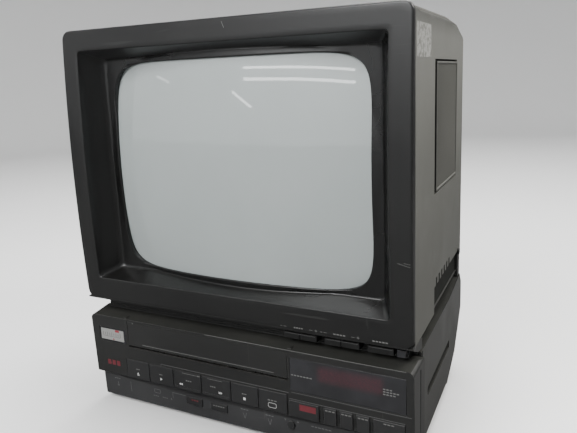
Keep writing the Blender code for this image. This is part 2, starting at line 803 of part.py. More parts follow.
def make_bezel():
    face = slab("bezel_face", [bezel_side()], "x", -BEZEL_HALF, BEZEL_HALF)
    common(face, slab("bezel_round", [bezel_outline(BEZEL_HALF, BEZEL_LOW, BEZEL_TOP, BEZEL_CORNER)],
                      "y", -BEZEL_BULGE - OVERRUN, BEZEL_DEPTH))
    skirt_half = half_width(BEZEL_DEPTH) - WALL - GAP
    floor = TV_BASE + WALL + GAP
    skirt_top = TV_TOP - WALL - GAP
    skirt = block("bezel_skirt", (-skirt_half, skirt_half), (BEZEL_FLANGE / 3, BEZEL_DEPTH),
                  (floor, skirt_top))
    start = BEZEL_FLANGE / 2
    chin_profile = [(start, BEZEL_LOW - (BEZEL_LOW - CHIN_LOW) * start / CHIN_Y), (CHIN_Y, CHIN_LOW),
                    (BEZEL_DEPTH, CHIN_LOW), (BEZEL_DEPTH, TV_BASE - GAP), (start, TV_BASE - GAP)]
    chin = slab("bezel_chin", [chin_profile], "x", -CHIN_HALF, CHIN_HALF)
    foot = block("bezel_foot", (-CHIN_HALF + GAP, CHIN_HALF - GAP), (GAP, BEZEL_FLANGE - GAP),
                 (BEZEL_LOW + GAP, floor + WALL))
    pocket = block("bezel_pocket", (BEZEL_WALL - skirt_half, skirt_half - BEZEL_WALL),
                   (BEZEL_FLANGE, BEZEL_DEPTH + OVERRUN), (floor + BEZEL_WALL, skirt_top - BEZEL_WALL))
    cut(pocket, recess_block("recess_wall", BEZEL_WALL, 0.0, BEZEL_DEPTH + 2 * OVERRUN))
    join(face, skirt, foot, chin)
    cut(face, pocket)
    recess = recess_block("recess", 0.0, -BEZEL_BULGE - OVERRUN, RIM_DEPTH)
    cut(recess, face_lens("mask_front", FACE_RADIUS + MASK_GAP + MASK_THICK))
    glass = slab("glass_opening", [raised(superellipse(GLASS_HALF, GLASS_HALF_HEIGHT, SCREEN_power_share),
                                          SCREEN_Z)], "y", -BEZEL_BULGE, TUBE_RIM_BACK)
    room = face_lens("tube_room", FACE_RADIUS + MASK_GAP)
    common(room, slab("tube_room_edge",
                      [raised(superellipse(TUBE_HALF + MASK_GAP, TUBE_HALF_HEIGHT + MASK_GAP,
                                           SCREEN_power_share), SCREEN_Z)],
                      "y", 0.0, TUBE_RIM_BACK))
    cut(face, recess, glass, room)
    for side in (-1, 1):
        for level in (-1, 1):
            place = (side * BOSS_X, level * BOSS_RISE + SCREEN_Z)
            join(face, rod("bezel_boss", BOSS_RADIUS, (place[0], BEZEL_FLANGE / 2, place[1]),
                           (place[0], BAND_FRONT + (BAND_BACK - BAND_FRONT) / 2 - EAR_PLATE / 2 - GAP,
                            place[1])))
    cut(face, key_slot("volume_slot", VOLUME_X, ROCKER_LENGTH, NECK_FRONT + RUNNING),
        key_slot("channel_slot", CHANNEL_X, ROCKER_LENGTH, NECK_FRONT + RUNNING),
        key_slot("operate_slot", OPERATE_X, OPERATE_WIDTH, NECK_FRONT + RUNNING),
        key_slot("stem_slot", OPERATE_X, STEM_WIDTH, BEZEL_DEPTH + OVERRUN),
        key_slot("lens_slot", LENS_X, LENS_WIDTH, NECK_FRONT))
    for centre in (VOLUME_X, CHANNEL_X):
        cut(face, rod("pivot_bore", PIN_RADIUS + GAP, (centre, PIVOT_Y, CHIN_LOW),
                      (centre, PIVOT_Y, ROCKER_TOP + PIVOT_HEIGHT + RUNNING)))
    return make(face, "front_bezel", CHARCOAL)


# Television: keys under the bezel

def make_rocker(name, centre):
    half = ROCKER_LENGTH / 2
    key = block("rocker_body", (centre - half, centre + half), (ROCKER_Y, ROCKER_Y + ROCKER_DEPTH),
                (ROCKER_LOW, ROCKER_TOP))
    notch = block("rocker_notch", (centre - ROCKER_NOTCH / 2, centre + ROCKER_NOTCH / 2),
                  (0.0, ROCKER_Y + PIN_RADIUS), (ROCKER_LOW - OVERRUN, ROCKER_TOP + OVERRUN))
    cut(key, notch)
    join(key, rod("rocker_pin", PIN_RADIUS, (centre, PIVOT_Y, ROCKER_LOW + OVERRUN),
                  (centre, PIVOT_Y, ROCKER_TOP + PIVOT_HEIGHT)))
    return make(key, name, KEY_BLACK, (centre, PIVOT_Y, (ROCKER_LOW + ROCKER_TOP) / 2))


def make_tv_keys():
    make_rocker("volume_rocker", VOLUME_X)
    make_rocker("channel_rocker", CHANNEL_X)
    half = OPERATE_WIDTH / 2
    back = ROCKER_Y + ROCKER_DEPTH - 2 * RUNNING
    key = block("operate_body", (OPERATE_X - half, OPERATE_X + half), (ROCKER_Y, back),
                (ROCKER_LOW, ROCKER_TOP))
    stem = block("operate_stem", (OPERATE_X - STEM_WIDTH / 2, OPERATE_X + STEM_WIDTH / 2),
                 (back - OVERRUN, BEZEL_DEPTH - OPERATE_TRAVEL), (CHIN_LOW, ROCKER_TOP))
    make(join(key, stem), "operate_button", KEY_BLACK, (OPERATE_X, ROCKER_Y, ROCKER_LOW))
    half = LENS_WIDTH / 2
    lens = block("lens_body", (LENS_X - half, LENS_X + half), (ROCKER_Y, NECK_FRONT - GAP),
                 (ROCKER_LOW, ROCKER_TOP + RUNNING - GAP))
    make(lens, "standby_lens", SMOKED)


# Television: cabinet

def cabinet_side(inset):
    """The cabinet's side profile in (y, z), drawn in by a wall."""
    low = TV_BASE + inset
    rear = TV_REAR - inset
    return [(TV_FRONT - inset, low), (TV_RISE_START, low), (rear, low + TV_RISE),
            (rear, TV_TOP - TV_FALL_END_DROP - inset), (TV_FALL_MID, TV_TOP - TV_FALL_MID_DROP - inset),
            (TV_FALL_START, TV_TOP - inset), (TV_FRONT - inset, TV_TOP - inset)]


def notch_block(name, side, grow):
    """The inward step low on one side of the cabinet."""
    def edge(depth):
        return side * (half_width(depth) - NOTCH_DEPTH - grow)
    outer = side * (CASE_HALF + OVERRUN)
    front = NOTCH_FRONT - grow
    rear = NOTCH_REAR + grow
    outline = [(edge(front), front), (outer, front), (outer, rear), (edge(rear), rear)]
    return slab(name, [outline if side > 0 else outline[::-1]], "z", TV_BASE - OVERRUN - grow,
                NOTCH_TOP + grow)


def cabinet_form(name, inset):
    body = slab(name, [cabinet_side(inset)], "x", -CASE_HALF, CASE_HALF)
    common(body, tapered_block(name + "_plan", (TV_FRONT - 2 * OVERRUN, TV_REAR + OVERRUN),
                               (TV_BASE - OVERRUN, TV_TOP + OVERRUN),
                               lambda depth, height: half_width(depth) - inset))
    for side in (-1, 1):
        cut(body, notch_block(name + "_notch", side, inset))
    start = TV_REAR - 2 * WALL - 2 * OVERRUN
    lean = (HUMP_HALF - HUMP_REAR_HALF) / (HUMP_REAR - TV_REAR)
    drop = (HUMP_TOP - HUMP_REAR_TOP) / (HUMP_REAR - TV_REAR)
    lift = (HUMP_REAR_LOW - HUMP_LOW) / (HUMP_REAR - TV_REAR)
    back = HUMP_REAR - inset
    ahead = TV_REAR - start
    hump = frustum(name + "_hump",
                   (start, HUMP_HALF + lean * ahead - inset, HUMP_LOW - lift * ahead + inset,
                    HUMP_TOP + drop * ahead - inset),
                   (back, HUMP_REAR_HALF + lean * inset - inset, HUMP_REAR_LOW - lift * inset + inset,
                    HUMP_REAR_TOP + drop * inset - inset))
    return join(body, hump)


def side_place(depth):
    """The pivot and turn of a piece that lies in the tapered right-hand wall."""
    return (half_width(depth), depth, 0.0), math.radians(SIDE_TAPER_DEG)


def make_rear_cover():
    cover = cabinet_form("cover_outer", 0.0)
    inside = cabinet_form("cover_inner", WALL)
    screw_places = [(x, z) for x in (-SCREW_X, SCREW_X) for z in (SCREW_LOW_Z, SCREW_TOP_Z)]
    for x, z in screw_places:
        cut(inside, rod("cover_boss", SCREW_HEAD, (x, TV_REAR - SCREW_LENGTH - WALL, z), (x, TV_REAR, z)))
    for x in (-TV_BOARD_HALF + BOARD_POST_INSET, TV_BOARD_HALF - BOARD_POST_INSET):
        for y in (TV_BOARD_FRONT + BOARD_POST_INSET, TV_BOARD_BACK - BOARD_POST_INSET):
            cut(inside, rod("board_boss", BOARD_POST, (x, y, TV_BASE), (x, y, TV_BOARD_Z - GAP)))
    cut(cover, inside)
    for x, z in screw_places:
        cut(cover, rod("cover_screw_hole", SCREW_SHANK + GAP, (x, TV_REAR - SCREW_LENGTH, z),
                       (x, TV_REAR + OVERRUN, z)))
    cut(cover, rod("aerial_hole", AERIAL_RADIUS + GAP, (SOCKET_X, TV_REAR - 2 * WALL, SOCKET_Z),
                   (SOCKET_X, TV_REAR + OVERRUN, SOCKET_Z)))
    cut(cover, rod("gland_hole", GLAND_RADIUS + GAP, (-SOCKET_X, TV_REAR - 2 * WALL, SOCKET_Z),
                   (-SOCKET_X, TV_REAR + OVERRUN, SOCKET_Z)))
    pivot, turn = side_place(GRILLE_Y)
    length = GRILLE_LENGTH / 2 + SLACK
    height = GRILLE_HEIGHT / 2 + SLACK
    opening = slab("grille_opening", [rectangle(-length, length, GRILLE_Z - height, GRILLE_Z + height)],
                   "x", -2 * WALL, OVERRUN, turn, pivot)
    cut(cover, opening)
    for side in (-1, 1):
        for i in range(VENT_COUNT):
            y = NOTCH_FRONT + VENT_PITCH * (i + 1)
            near = half_width(y) - NOTCH_DEPTH
            cut(cover, block("side_vent", (side * (near - 2 * WALL), side * (near + OVERRUN)),
                             (y, y + VENT_WIDTH), (NOTCH_TOP - VENT_HEIGHT - WALL, NOTCH_TOP - WALL)))
    for i in range(SLIT_COUNT):
        x = SLIT_PITCH * (i - (SLIT_COUNT - 1) / 2)
        cut(cover, block("top_slit", (x - SLIT_WIDTH / 2, x + SLIT_WIDTH / 2),
                         (TV_FALL_START - SLIT_LENGTH, TV_FALL_START - 2 * WALL),
                         (TV_TOP - 2 * WALL, TV_TOP + OVERRUN)))
    make(cover, "tv_rear_cover", COVER_GREY)


def make_grille():
    pivot, turn = side_place(GRILLE_Y)
    length = GRILLE_LENGTH / 2
    height = GRILLE_HEIGHT / 2
    outlines = [rectangle(-length, length, GRILLE_Z - height, GRILLE_Z + height)]
    count = int((GRILLE_LENGTH - 2 * GRILLE_FRAME) / GRILLE_PITCH)
    for i in range(count):
        middle = GRILLE_PITCH * (i - (count - 1) / 2)
        outlines.append(rectangle(middle - GRILLE_SLOT / 2, middle + GRILLE_SLOT / 2,
                                  GRILLE_Z - height + GRILLE_FRAME, GRILLE_Z + height - GRILLE_FRAME))
    make(slab("grille_panel", outlines, "x", GAP - GRILLE_THICK, GAP, turn, pivot), "speaker_grille",
         COVER_GREY)


def make_speaker():
    pivot, turn = side_place(GRILLE_Y)
    out = Vector((math.cos(turn), math.sin(turn), 0.0))
    front = Vector((pivot[0], pivot[1], GRILLE_Z)) - out * (GRILLE_THICK + GAP)
    profile = [(SPEAKER_RADIUS, 0.0), (SPEAKER_RADIUS, -SPEAKER_FLANGE),
               (MAGNET_RADIUS, -CONE_DEPTH), (MAGNET_RADIUS, -CONE_DEPTH - MAGNET_DEPTH),
               (0.0, -CONE_DEPTH - MAGNET_DEPTH), (0.0, SPEAKER_FLANGE - CONE_DEPTH),
               (MAGNET_RADIUS / 2, SPEAKER_FLANGE - CONE_DEPTH), (SPEAKER_RADIUS - SPEAKER_FLANGE, 0.0)]
    make(turned("speaker_body", profile, front, out), "speaker", STEEL)


# Television: picture tube and what it carries

TUBE_STATION_shares = (
    # depth share between rim back and neck start, half width share, half height share, power
    (0.0, 1.0, 1.0, 7.0),
    (0.09, 0.965, 0.965, 6.0),
    (0.31, 0.80, 0.79, 4.0),
    (0.575, 0.54, 0.535, 3.0),
    (0.84, 0.165, 0.195, 2.2),
    (0.93, 0.098, 0.126, 2.0),
)
FACE_RING_shares = (0.35, 0.7, 0.9, 1.0)
INNER_FACE_shares = (0.97, 0.6)


def ring_at(half, half_height, power, depth):
    return [(x, depth, SCREEN_Z + z) for x, z in superellipse(half, half_height, power)]


def face_ring(half, half_height, radius):
    flat = superellipse(half, half_height, SCREEN_power_share)
    return [(x, face_depth(x, z, radius), SCREEN_Z + z) for x, z in flat]


def funnel_rings(inset):
    rings = []
    for along, half_share, height_share, power in TUBE_STATION_shares:
        depth = TUBE_RIM_BACK + along * (NECK_START - TUBE_RIM_BACK)
        rings.append(ring_at(TUBE_HALF * half_share - inset, TUBE_HALF_HEIGHT * height_share - inset,
                             power, depth))
    neck = NECK_RADIUS - inset / 2
    rings.append(ring_at(neck, neck, 2.0, NECK_START))
    rings.append(ring_at(neck, neck, 2.0, NECK_END))
    return rings


def make_tube():
    rings = [[(0.0, FACE_DEPTH, SCREEN_Z)]]
    rings += [face_ring(TUBE_HALF * share, TUBE_HALF_HEIGHT * share, FACE_RADIUS)
              for share in FACE_RING_shares]
    rings += funnel_rings(0.0)
    rings += funnel_rings(FUNNEL_THICK)[::-1]
    half = TUBE_HALF - FUNNEL_THICK
    half_height = TUBE_HALF_HEIGHT - FUNNEL_THICK
    inner = FACE_RADIUS - GLASS_THICK
    rings += [face_ring(half * share, half_height * share, inner) for share in INNER_FACE_shares]
    rings.append([(0.0, FACE_DEPTH + GLASS_THICK, SCREEN_Z)])
    make(loft("tube_skin", rings), "picture_tube", TUBE_GREY)


def make_band():
    grow = GAP + BAND_THICK
    outer = raised(superellipse(TUBE_HALF + grow, TUBE_HALF_HEIGHT + grow, SCREEN_power_share), SCREEN_Z)
    inner = raised(superellipse(TUBE_HALF + GAP, TUBE_HALF_HEIGHT + GAP, SCREEN_power_share), SCREEN_Z)
    band = slab("band_outer", [outer], "y", BAND_FRONT, BAND_BACK)
    middle = (BAND_FRONT + BAND_BACK) / 2
    front = middle - EAR_PLATE / 2
    back = middle + EAR_PLATE / 2
    for side in (-1, 1):
        for level in (-1, 1):
            x = side * BOSS_X
            z = SCREEN_Z + level * BOSS_RISE
            arm = block("band_arm", (side * TUBE_HALF * BAND_ARM_share, x), (front, back),
                        (z - level * 2 * EAR_RADIUS, z + level * BAND_ARM_DROP))
            join(band, arm, rod("band_ear", EAR_RADIUS, (x, front + GAP / 2, z), (x, back - GAP / 2, z)))
    cut(band, slab("band_inner", [inner], "y", BAND_FRONT - OVERRUN, BAND_BACK + OVERRUN))
    make(band, "tube_band", STEEL)


def make_yoke():
    bore = NECK_RADIUS + YOKE_CLEAR
    profile = [(YOKE_FLANGE, YOKE_FRONT), (YOKE_FLANGE, YOKE_FRONT + YOKE_STEP),
               (YOKE_RADIUS, YOKE_FRONT + YOKE_STEP), (YOKE_RADIUS, YOKE_BACK - YOKE_STEP),
               (bore + 2 * WALL, YOKE_BACK - YOKE_STEP), (bore + 2 * WALL, YOKE_BACK), (bore, YOKE_BACK),
               (bore, NECK_START + YOKE_CLEAR),
               (YOKE_THROAT, YOKE_FRONT + YOKE_THROAT_DEPTH), (YOKE_FLARE, YOKE_FRONT)]
    make(turned("yoke_body", profile, (0.0, 0.0, SCREEN_Z), (0.0, 1.0, 0.0)), "deflection_yoke", COPPER)


def make_neck_board():
    front = NECK_END + GAP
    plate = block("neck_plate", (-NECK_BOARD_HALF, NECK_BOARD_HALF), (front, front + BOARD),
                  (SCREEN_Z - NECK_BOARD_HALF, SCREEN_Z + NECK_BOARD_HALF))
    profile = [(SOCKET_RADIUS, front - SOCKET_LENGTH), (SOCKET_RADIUS, front + BOARD / 2),
               (NECK_RADIUS + YOKE_CLEAR, front + BOARD / 2),
               (NECK_RADIUS + YOKE_CLEAR, front - SOCKET_LENGTH)]
    socket = turned("neck_socket", profile, (0.0, 0.0, SCREEN_Z), (0.0, 1.0, 0.0))
    make(join(plate, socket), "neck_board", BOARD_BROWN)


def make_tv_insides():
    make(block("tv_board_plate", (-TV_BOARD_HALF, TV_BOARD_HALF), (TV_BOARD_FRONT, TV_BOARD_BACK),
               (TV_BOARD_Z, TV_BOARD_Z + BOARD)), "tv_board", BOARD_BROWN)
    half = FLYBACK_SIZE / 2
    low = TV_BOARD_Z + BOARD + GAP
    core = block("flyback_core", (FLYBACK_X - half, FLYBACK_X + half), (FLYBACK_Y - half, FLYBACK_Y + half),
                 (low, low + FLYBACK_CORE_HEIGHT))
    can = rod("flyback_can", FLYBACK_CAN, (FLYBACK_X, FLYBACK_Y, low + WALL),
              (FLYBACK_X, FLYBACK_Y, low + FLYBACK_HEIGHT))
    make(join(core, can), "flyback_transformer", RUBBER)


def make_rear_fittings():
    def fitting(name, part, x, z, radius, bore, look):
        inner = TV_REAR - WALL - GAP
        profile = [(radius + FITTING_FLANGE, inner - FITTING_FLANGE), (radius + FITTING_FLANGE, inner),
                   (radius, inner), (radius, TV_REAR + FITTING_REACH), (bore, TV_REAR + FITTING_REACH),
                   (bore, inner - FITTING_FLANGE)]
        make(turned(name, profile, (x, 0.0, z), (0.0, 1.0, 0.0), SMALL_STEPS), part, look)
    fitting("aerial_body", "aerial_socket", SOCKET_X, SOCKET_Z, AERIAL_RADIUS, AERIAL_BORE, ZINC)
    fitting("gland_body", "mains_cord_gland", -SOCKET_X, SOCKET_Z, GLAND_RADIUS, GLAND_BORE, RUBBER)
    number = 0
    for x in (-SCREW_X, SCREW_X):
        for z in (SCREW_LOW_Z, SCREW_TOP_Z):
            number += 1
            seat = TV_REAR + GAP
            screw = rod("screw_shank", SCREW_SHANK, (x, seat + GAP - SCREW_LENGTH, z), (x, seat + GAP, z))
            join(screw, rod("screw_head", SCREW_HEAD, (x, seat, z), (x, seat + SCREW_HEAD_HEIGHT, z)))
            make(screw, f"rear_screw_{number}", ZINC)


# Neck, case, pan and feet

def make_neck():
    ridge_step = (CHIN_LOW - GAP - NECK_LOW) / (2 * RIDGE_COUNT + 1)
    profile = [(FASCIA_DEPTH, CHIN_LOW - GAP), (FASCIA_DEPTH, NECK_LOW)]
    for i in range(2 * RIDGE_COUNT + 1):
        depth = NECK_FRONT + (RIDGE if i % 2 else 0.0)
        profile.append((depth, NECK_LOW + ridge_step * i))
        profile.append((depth, NECK_LOW + ridge_step * (i + 1)))
    bar = slab("neck_bar", [profile], "x", -NECK_HALF, NECK_HALF)

    def half(depth, height):
        return half_width(depth) - NECK_INSET

    rest = tapered_block("neck_rest", (BEZEL_DEPTH + GAP, NECK_BACK), (CASE_TOP + GAP, TV_BASE - GAP), half)
    bridge = tapered_block("neck_bridge", (NECK_FRONT + WALL, BEZEL_DEPTH + WALL),
                           (CASE_TOP + 2 * GAP, CHIN_LOW - GAP - RIDGE),
                           lambda depth, height: half(depth, height) - WALL)
    hollow = tapered_block("neck_hollow", (BEZEL_DEPTH + 2 * WALL, NECK_BACK - WALL),
                           (CASE_TOP, TV_BASE), lambda depth, height: half(depth, height) - 4 * WALL)
    make(cut(join(bar, rest, bridge), hollow), "neck_plinth", RECORDER_BLACK)


def case_side(inset):
    """The case's side profile in (y, z), drawn in by a wall at the top and the rear."""
    top = CASE_TOP - inset
    rear = CASE_REAR - inset
    return [(CASE_FRONT - inset, CASE_LOW - inset), (SLOPE_START, CASE_LOW - inset),
            (SLOPE_MID, SLOPE_MID_Z - inset),
            (CASE_REAR, SLOPE_END_Z - inset), (rear, SLOPE_END_Z - inset), (rear, top - REAR_CHAMFER / 2),
            (rear - REAR_CHAMFER, top + REAR_RISE), (RISE_END, top + REAR_RISE), (RISE_START, top),
            (CASE_FRONT - inset, top)]


def tapered_outline(front, back, inset):
    near = half_width(front) - inset
    far = half_width(back) - inset
    return [(-near, front), (near, front), (far, back), (-far, back)]


def make_case():
    top = CASE_TOP + REAR_RISE + OVERRUN
    case = slab("case_outer", [case_side(0.0)], "x", -CASE_HALF, CASE_HALF)
    common(case, slab("case_plan", [tapered_outline(0.0, CASE_REAR + OVERRUN, 0.0)], "z", 0.0, top))
    inside = slab("case_inner", [case_side(WALL)], "x", -CASE_HALF, CASE_HALF)
    common(inside, slab("case_inner_plan", [tapered_outline(0.0, CASE_REAR + OVERRUN, WALL)], "z", 0.0, top))
    cut(case, inside)
    for side in (-1, 1):
        turn = side * math.radians(SIDE_TAPER_DEG)
        radius = GROOVE_HEIGHT / 2
        middle = GROOVE_LOW + radius
        outline = []
        for i in range(9):
            angle = math.pi / 2 + math.pi * i / 8
            outline.append((GROOVE_START + radius + radius * math.cos(angle),
                            middle + radius * math.sin(angle)))
        outline += [(GROOVE_END, GROOVE_LOW), (GROOVE_END, GROOVE_LOW + GROOVE_HEIGHT)]
        reach = side * OVERRUN
        depth = -side * GROOVE_DEPTH
        cut(case, slab("case_groove", [outline], "x", min(reach, depth), max(reach, depth), turn,
                       (side * CASE_HALF, 0.0, 0.0)))
    make(case, "vcr_case", RECORDER_BLACK)


def make_pan():
    def tray_half(inset):
        return lambda depth, height: (half_width(depth) - GAP - inset
                                      - PAN_CHAMFER * (PAN_TOP - height) / (PAN_TOP - PAN_FLOOR))
    front = CASE_FRONT + GAP
    tray = tapered_block("pan_tray", (front, SLOPE_START), (PAN_FLOOR, PAN_TOP), tray_half(0.0))
    hollow = tapered_block("pan_hollow", (front + PAN_WALL, SLOPE_START - PAN_WALL),
                           (PAN_FLOOR + PAN_WALL, PAN_TOP + OVERRUN), tray_half(2 * PAN_WALL))
    top = [(SLOPE_START - PAN_WALL, PAN_TOP), (SLOPE_START, PAN_TOP), (SLOPE_MID, SLOPE_MID_Z - GAP),
           (CASE_REAR, SLOPE_END_Z - GAP)]
    under = [(y, z - WALL) for y, z in top[::-1]]
    slope = slab("pan_slope", [top + under], "x", -CASE_HALF, CASE_HALF)
    common(slope, slab("pan_plan", [tapered_outline(0.0, CASE_REAR + OVERRUN, GAP)], "z", 0.0,
                       SLOPE_END_Z + OVERRUN))
    cut(tray, hollow)
    join(tray, slope)
    for x in (DECK_LEFT + POST_INSET, DECK_RIGHT - POST_INSET):
        for y in (POST_FRONT, POST_REAR):
            join(tray, rod("pan_post", POST_RADIUS, (x, y, PAN_FLOOR + PAN_WALL / 2), (x, y, DECK_Z - GAP)))
    for x in (VCR_BOARD_LEFT + BOARD_POST_INSET, VCR_BOARD_RIGHT - BOARD_POST_INSET):
        for y in (VCR_BOARD_FRONT + BOARD_POST_INSET, VCR_BOARD_BACK - BOARD_POST_INSET):
            join(tray, rod("pan_board_post", BOARD_POST, (x, y, PAN_FLOOR + PAN_WALL / 2),
                           (x, y, VCR_BOARD_Z - GAP)))
    make(tray, "base_pan", STEEL)


def make_feet():
    number = 0
    for y in (FOOT_FRONT, FOOT_REAR):
        for x in (-FOOT_X, FOOT_X):
            number += 1
            foot = rod("foot_body", FOOT_RADIUS * FOOT_SOLE_share, (x, y, 0.0), (x, y, FOOT_HEIGHT),
                       SMALL_STEPS, FOOT_RADIUS)
            make(foot, f"foot_{number}", RUBBER)


# Recorder fascia

def fascia_face(height):
    """Depth of the fascia's front at a height above the table."""
    if height >= STEP_TOP_Z:
        return (FASCIA_EDGE_Z - height) * FASCIA_lean_share
    edge = (FASCIA_EDGE_Z - STEP_TOP_Z) * FASCIA_lean_share + STEP_DEPTH
    return edge + STRIP_LEAN * (STEP_LOW_Z - height) / (STEP_LOW_Z - FASCIA_BOTTOM)


def fascia_side(inset, back):
    step = (FASCIA_EDGE_Z - STEP_TOP_Z) * FASCIA_lean_share
    return [(inset, FASCIA_EDGE_Z - inset), (step + inset, STEP_TOP_Z - inset / 2),
            (fascia_face(STEP_LOW_Z) + inset, STEP_LOW_Z - inset / 2),
            (fascia_face(FASCIA_BOTTOM) + inset, FASCIA_BOTTOM + inset), (back, FASCIA_BOTTOM + inset),
            (back, FASCIA_TOP - inset), (FASCIA_TOP_SLOPE, FASCIA_TOP - inset)]


def timer_keys():
    """Name, left and right end of each timer key."""
    names = ["memory_button"] + [f"timer_key_{i}" for i in range(1, len(TIMER_END_shares))]
    span = TIMER_RIGHT - TIMER_LEFT
    return [(name, TIMER_LEFT + start * span, TIMER_LEFT + end * span)
            for name, (start, end) in zip(names, TIMER_END_shares)]


def make_fascia():
    fascia = slab("fascia_outer", [fascia_side(0.0, FASCIA_DEPTH)], "x", -FASCIA_HALF, FASCIA_HALF)
    inner_half = FASCIA_HALF - FASCIA_END_WALL
    inside = slab("fascia_inner", [fascia_side(WALL, FASCIA_DEPTH + OVERRUN)], "x", -inner_half, inner_half)
    for side in (-1, 1):
        ends = (side * (inner_half - STRIP_INSET), side * (inner_half + OVERRUN))
        cut(inside, block("strip_wall", ends, (0.0, FASCIA_DEPTH + 2 * OVERRUN), (0.0, STEP_LOW_Z + WALL)))
    cut(fascia, inside)
    for side in (-1, 1):
        ends = (side * (FASCIA_HALF - STRIP_INSET), side * (FASCIA_HALF + OVERRUN))
        cut(fascia, block("strip_end", ends, (-OVERRUN, FASCIA_DEPTH - WALL),
                          (FASCIA_BOTTOM - OVERRUN, STEP_LOW_Z)))
    through = (-OVERRUN, fascia_face(FASCIA_BOTTOM) + 2 * WALL)

    def hole(name, low_x, high_x, low_z, high_z, fit=SLACK):
        cut(fascia, block(name, (low_x - fit, high_x + fit), through, (low_z - fit, high_z + fit)))

    hole("door_hole", BAY_X - DOOR_HOLE_HALF, BAY_X + DOOR_HOLE_HALF, DOOR_HOLE_LOW, DOOR_HOLE_TOP, 0.0)
    hole("display_hole", DISPLAY_LEFT, DISPLAY_RIGHT, DISPLAY_LOW, DISPLAY_TOP, GAP)
    hole("scale_hole", SCALE_LEFT, SCALE_RIGHT, SCALE_LOW, SCALE_TOP, GAP)
    hole("key_row_hole", KEYS_LEFT, KEYS_RIGHT, KEYS_LOW, KEYS_TOP)
    for name, left, right in timer_keys():
        hole(name + "_hole", left, right, TIMER_LOW, TIMER_TOP)
    for centre, width in ((RECORD_X, RECORD_WIDTH), (PAUSE_X, PAUSE_WIDTH)):
        hole("lower_key_hole", centre - width / 2, centre + width / 2, LOWER_KEY_LOW, LOWER_KEY_TOP)
    cut(fascia, rod("knob_hole", KNOB_STEM + SLACK, (KNOB_X, -OVERRUN, KNOB_Z), (KNOB_X, through[1], KNOB_Z)))
    for side in (-1, 1):
        middle = BAY_X + side * (DOOR_HOLE_HALF + LUG_GAP + LUG / 2)
        lug = block("door_lug", (middle - LUG / 2, middle + LUG / 2),
                    (fascia_face(HINGE_Z) + WALL / 2, HINGE_Y + LUG), (HINGE_Z - PIN_RADIUS - GAP - LUG / 4,
                                                                      FASCIA_TOP - WALL / 2))
        join(fascia, lug)
        cut(fascia, rod("lug_bore", PIN_RADIUS + GAP, (middle - LUG, HINGE_Y, HINGE_Z),
                        (middle + LUG, HINGE_Y, HINGE_Z)))
    back = fascia_face(DISPLAY_TOP) + WALL / 2
    for x in (DISPLAY_LEFT + BOARD_MARGIN, DISPLAY_RIGHT - BOARD_MARGIN):
        for z in (DISPLAY_LOW - 2 * BOARD_MARGIN, DISPLAY_TOP + BOARD_MARGIN):
            join(fascia, rod("display_post", BOARD_MARGIN / 2, (x, back, z), (x, DISPLAY_BOARD_Y - GAP, z)))
    make(fascia, "vcr_fascia", RECORDER_BLACK)


def make_windows():
    def window(part, left, right, low, top, look):
        face = fascia_face(top)
        back = fascia_face(low) + WALL + GAP
        pane = block("window_pane", (left, right), (face + GAP, back + WINDOW_BACK), (low, top))
        rim = block("window_rim", (left - WINDOW_RIM, right + WINDOW_RIM), (back, back + WINDOW_BACK),
                    (low - WINDOW_RIM, top - 2 * WINDOW_RIM))
        make(join(pane, rim), part, look)
    window("display_window", DISPLAY_LEFT, DISPLAY_RIGHT, DISPLAY_LOW, DISPLAY_TOP, SMOKED)
    window("scale_window", SCALE_LEFT, SCALE_RIGHT, SCALE_LOW, SCALE_TOP, SMOKED)
    board = block("display_board_plate", (DISPLAY_LEFT, DISPLAY_RIGHT),
                  (DISPLAY_BOARD_Y, DISPLAY_BOARD_Y + BOARD),
                  (DISPLAY_LOW - 3 * BOARD_MARGIN, DISPLAY_TOP + BOARD_MARGIN + BOARD_MARGIN / 2))
    make(board, "display_board", BOARD_BROWN)


def make_door():
    left = BAY_X - DOOR_HALF
    right = BAY_X + DOOR_HALF
    top = DOOR_HOLE_TOP - DOOR_TOP_GAP
    panel = block("door_panel", (left, right), (DOOR_FRONT, DOOR_FRONT + DOOR_THICK), (DOOR_LOW, top))
    for side in (-1, 1):
        edge = BAY_X + side * DOOR_HALF
        ear = block("door_ear", (edge - side * EAR, edge),
                    (DOOR_FRONT + DOOR_THICK / 2, HINGE_Y + PIN_RADIUS),
                    (HINGE_Z - PIN_RADIUS, HINGE_Z + PIN_RADIUS))
        join(panel, ear, rod("door_pin", PIN_RADIUS, (edge - side * EAR / 2, HINGE_Y, HINGE_Z),
                             (edge + side * PIN_REACH, HINGE_Y, HINGE_Z)))
    make(panel, "cassette_door", RECORDER_BLACK, (BAY_X, HINGE_Y, HINGE_Z))


def make_key(name, left, right, low, top, proud, look, lip_sides=True):
    """A key with a cap through its hole and a lip behind the wall that keeps it there."""
    wall_back = fascia_face(low) + WALL + GAP
    front = fascia_face((low + top) / 2) - proud
    cap = block("key_cap", (left, right), (front, wall_back + LIP), (low, top))
    soften(cap, KEY_SEAM / 2, 1)
    side = LIP / 2 if lip_sides else 0.0
    lip = block("key_lip", (left - side, right + side), (wall_back, wall_back + LIP_THICK),
                (low - LIP, top + LIP))
    make(join(cap, lip), name, look, ((left + right) / 2, front, (low + top) / 2))


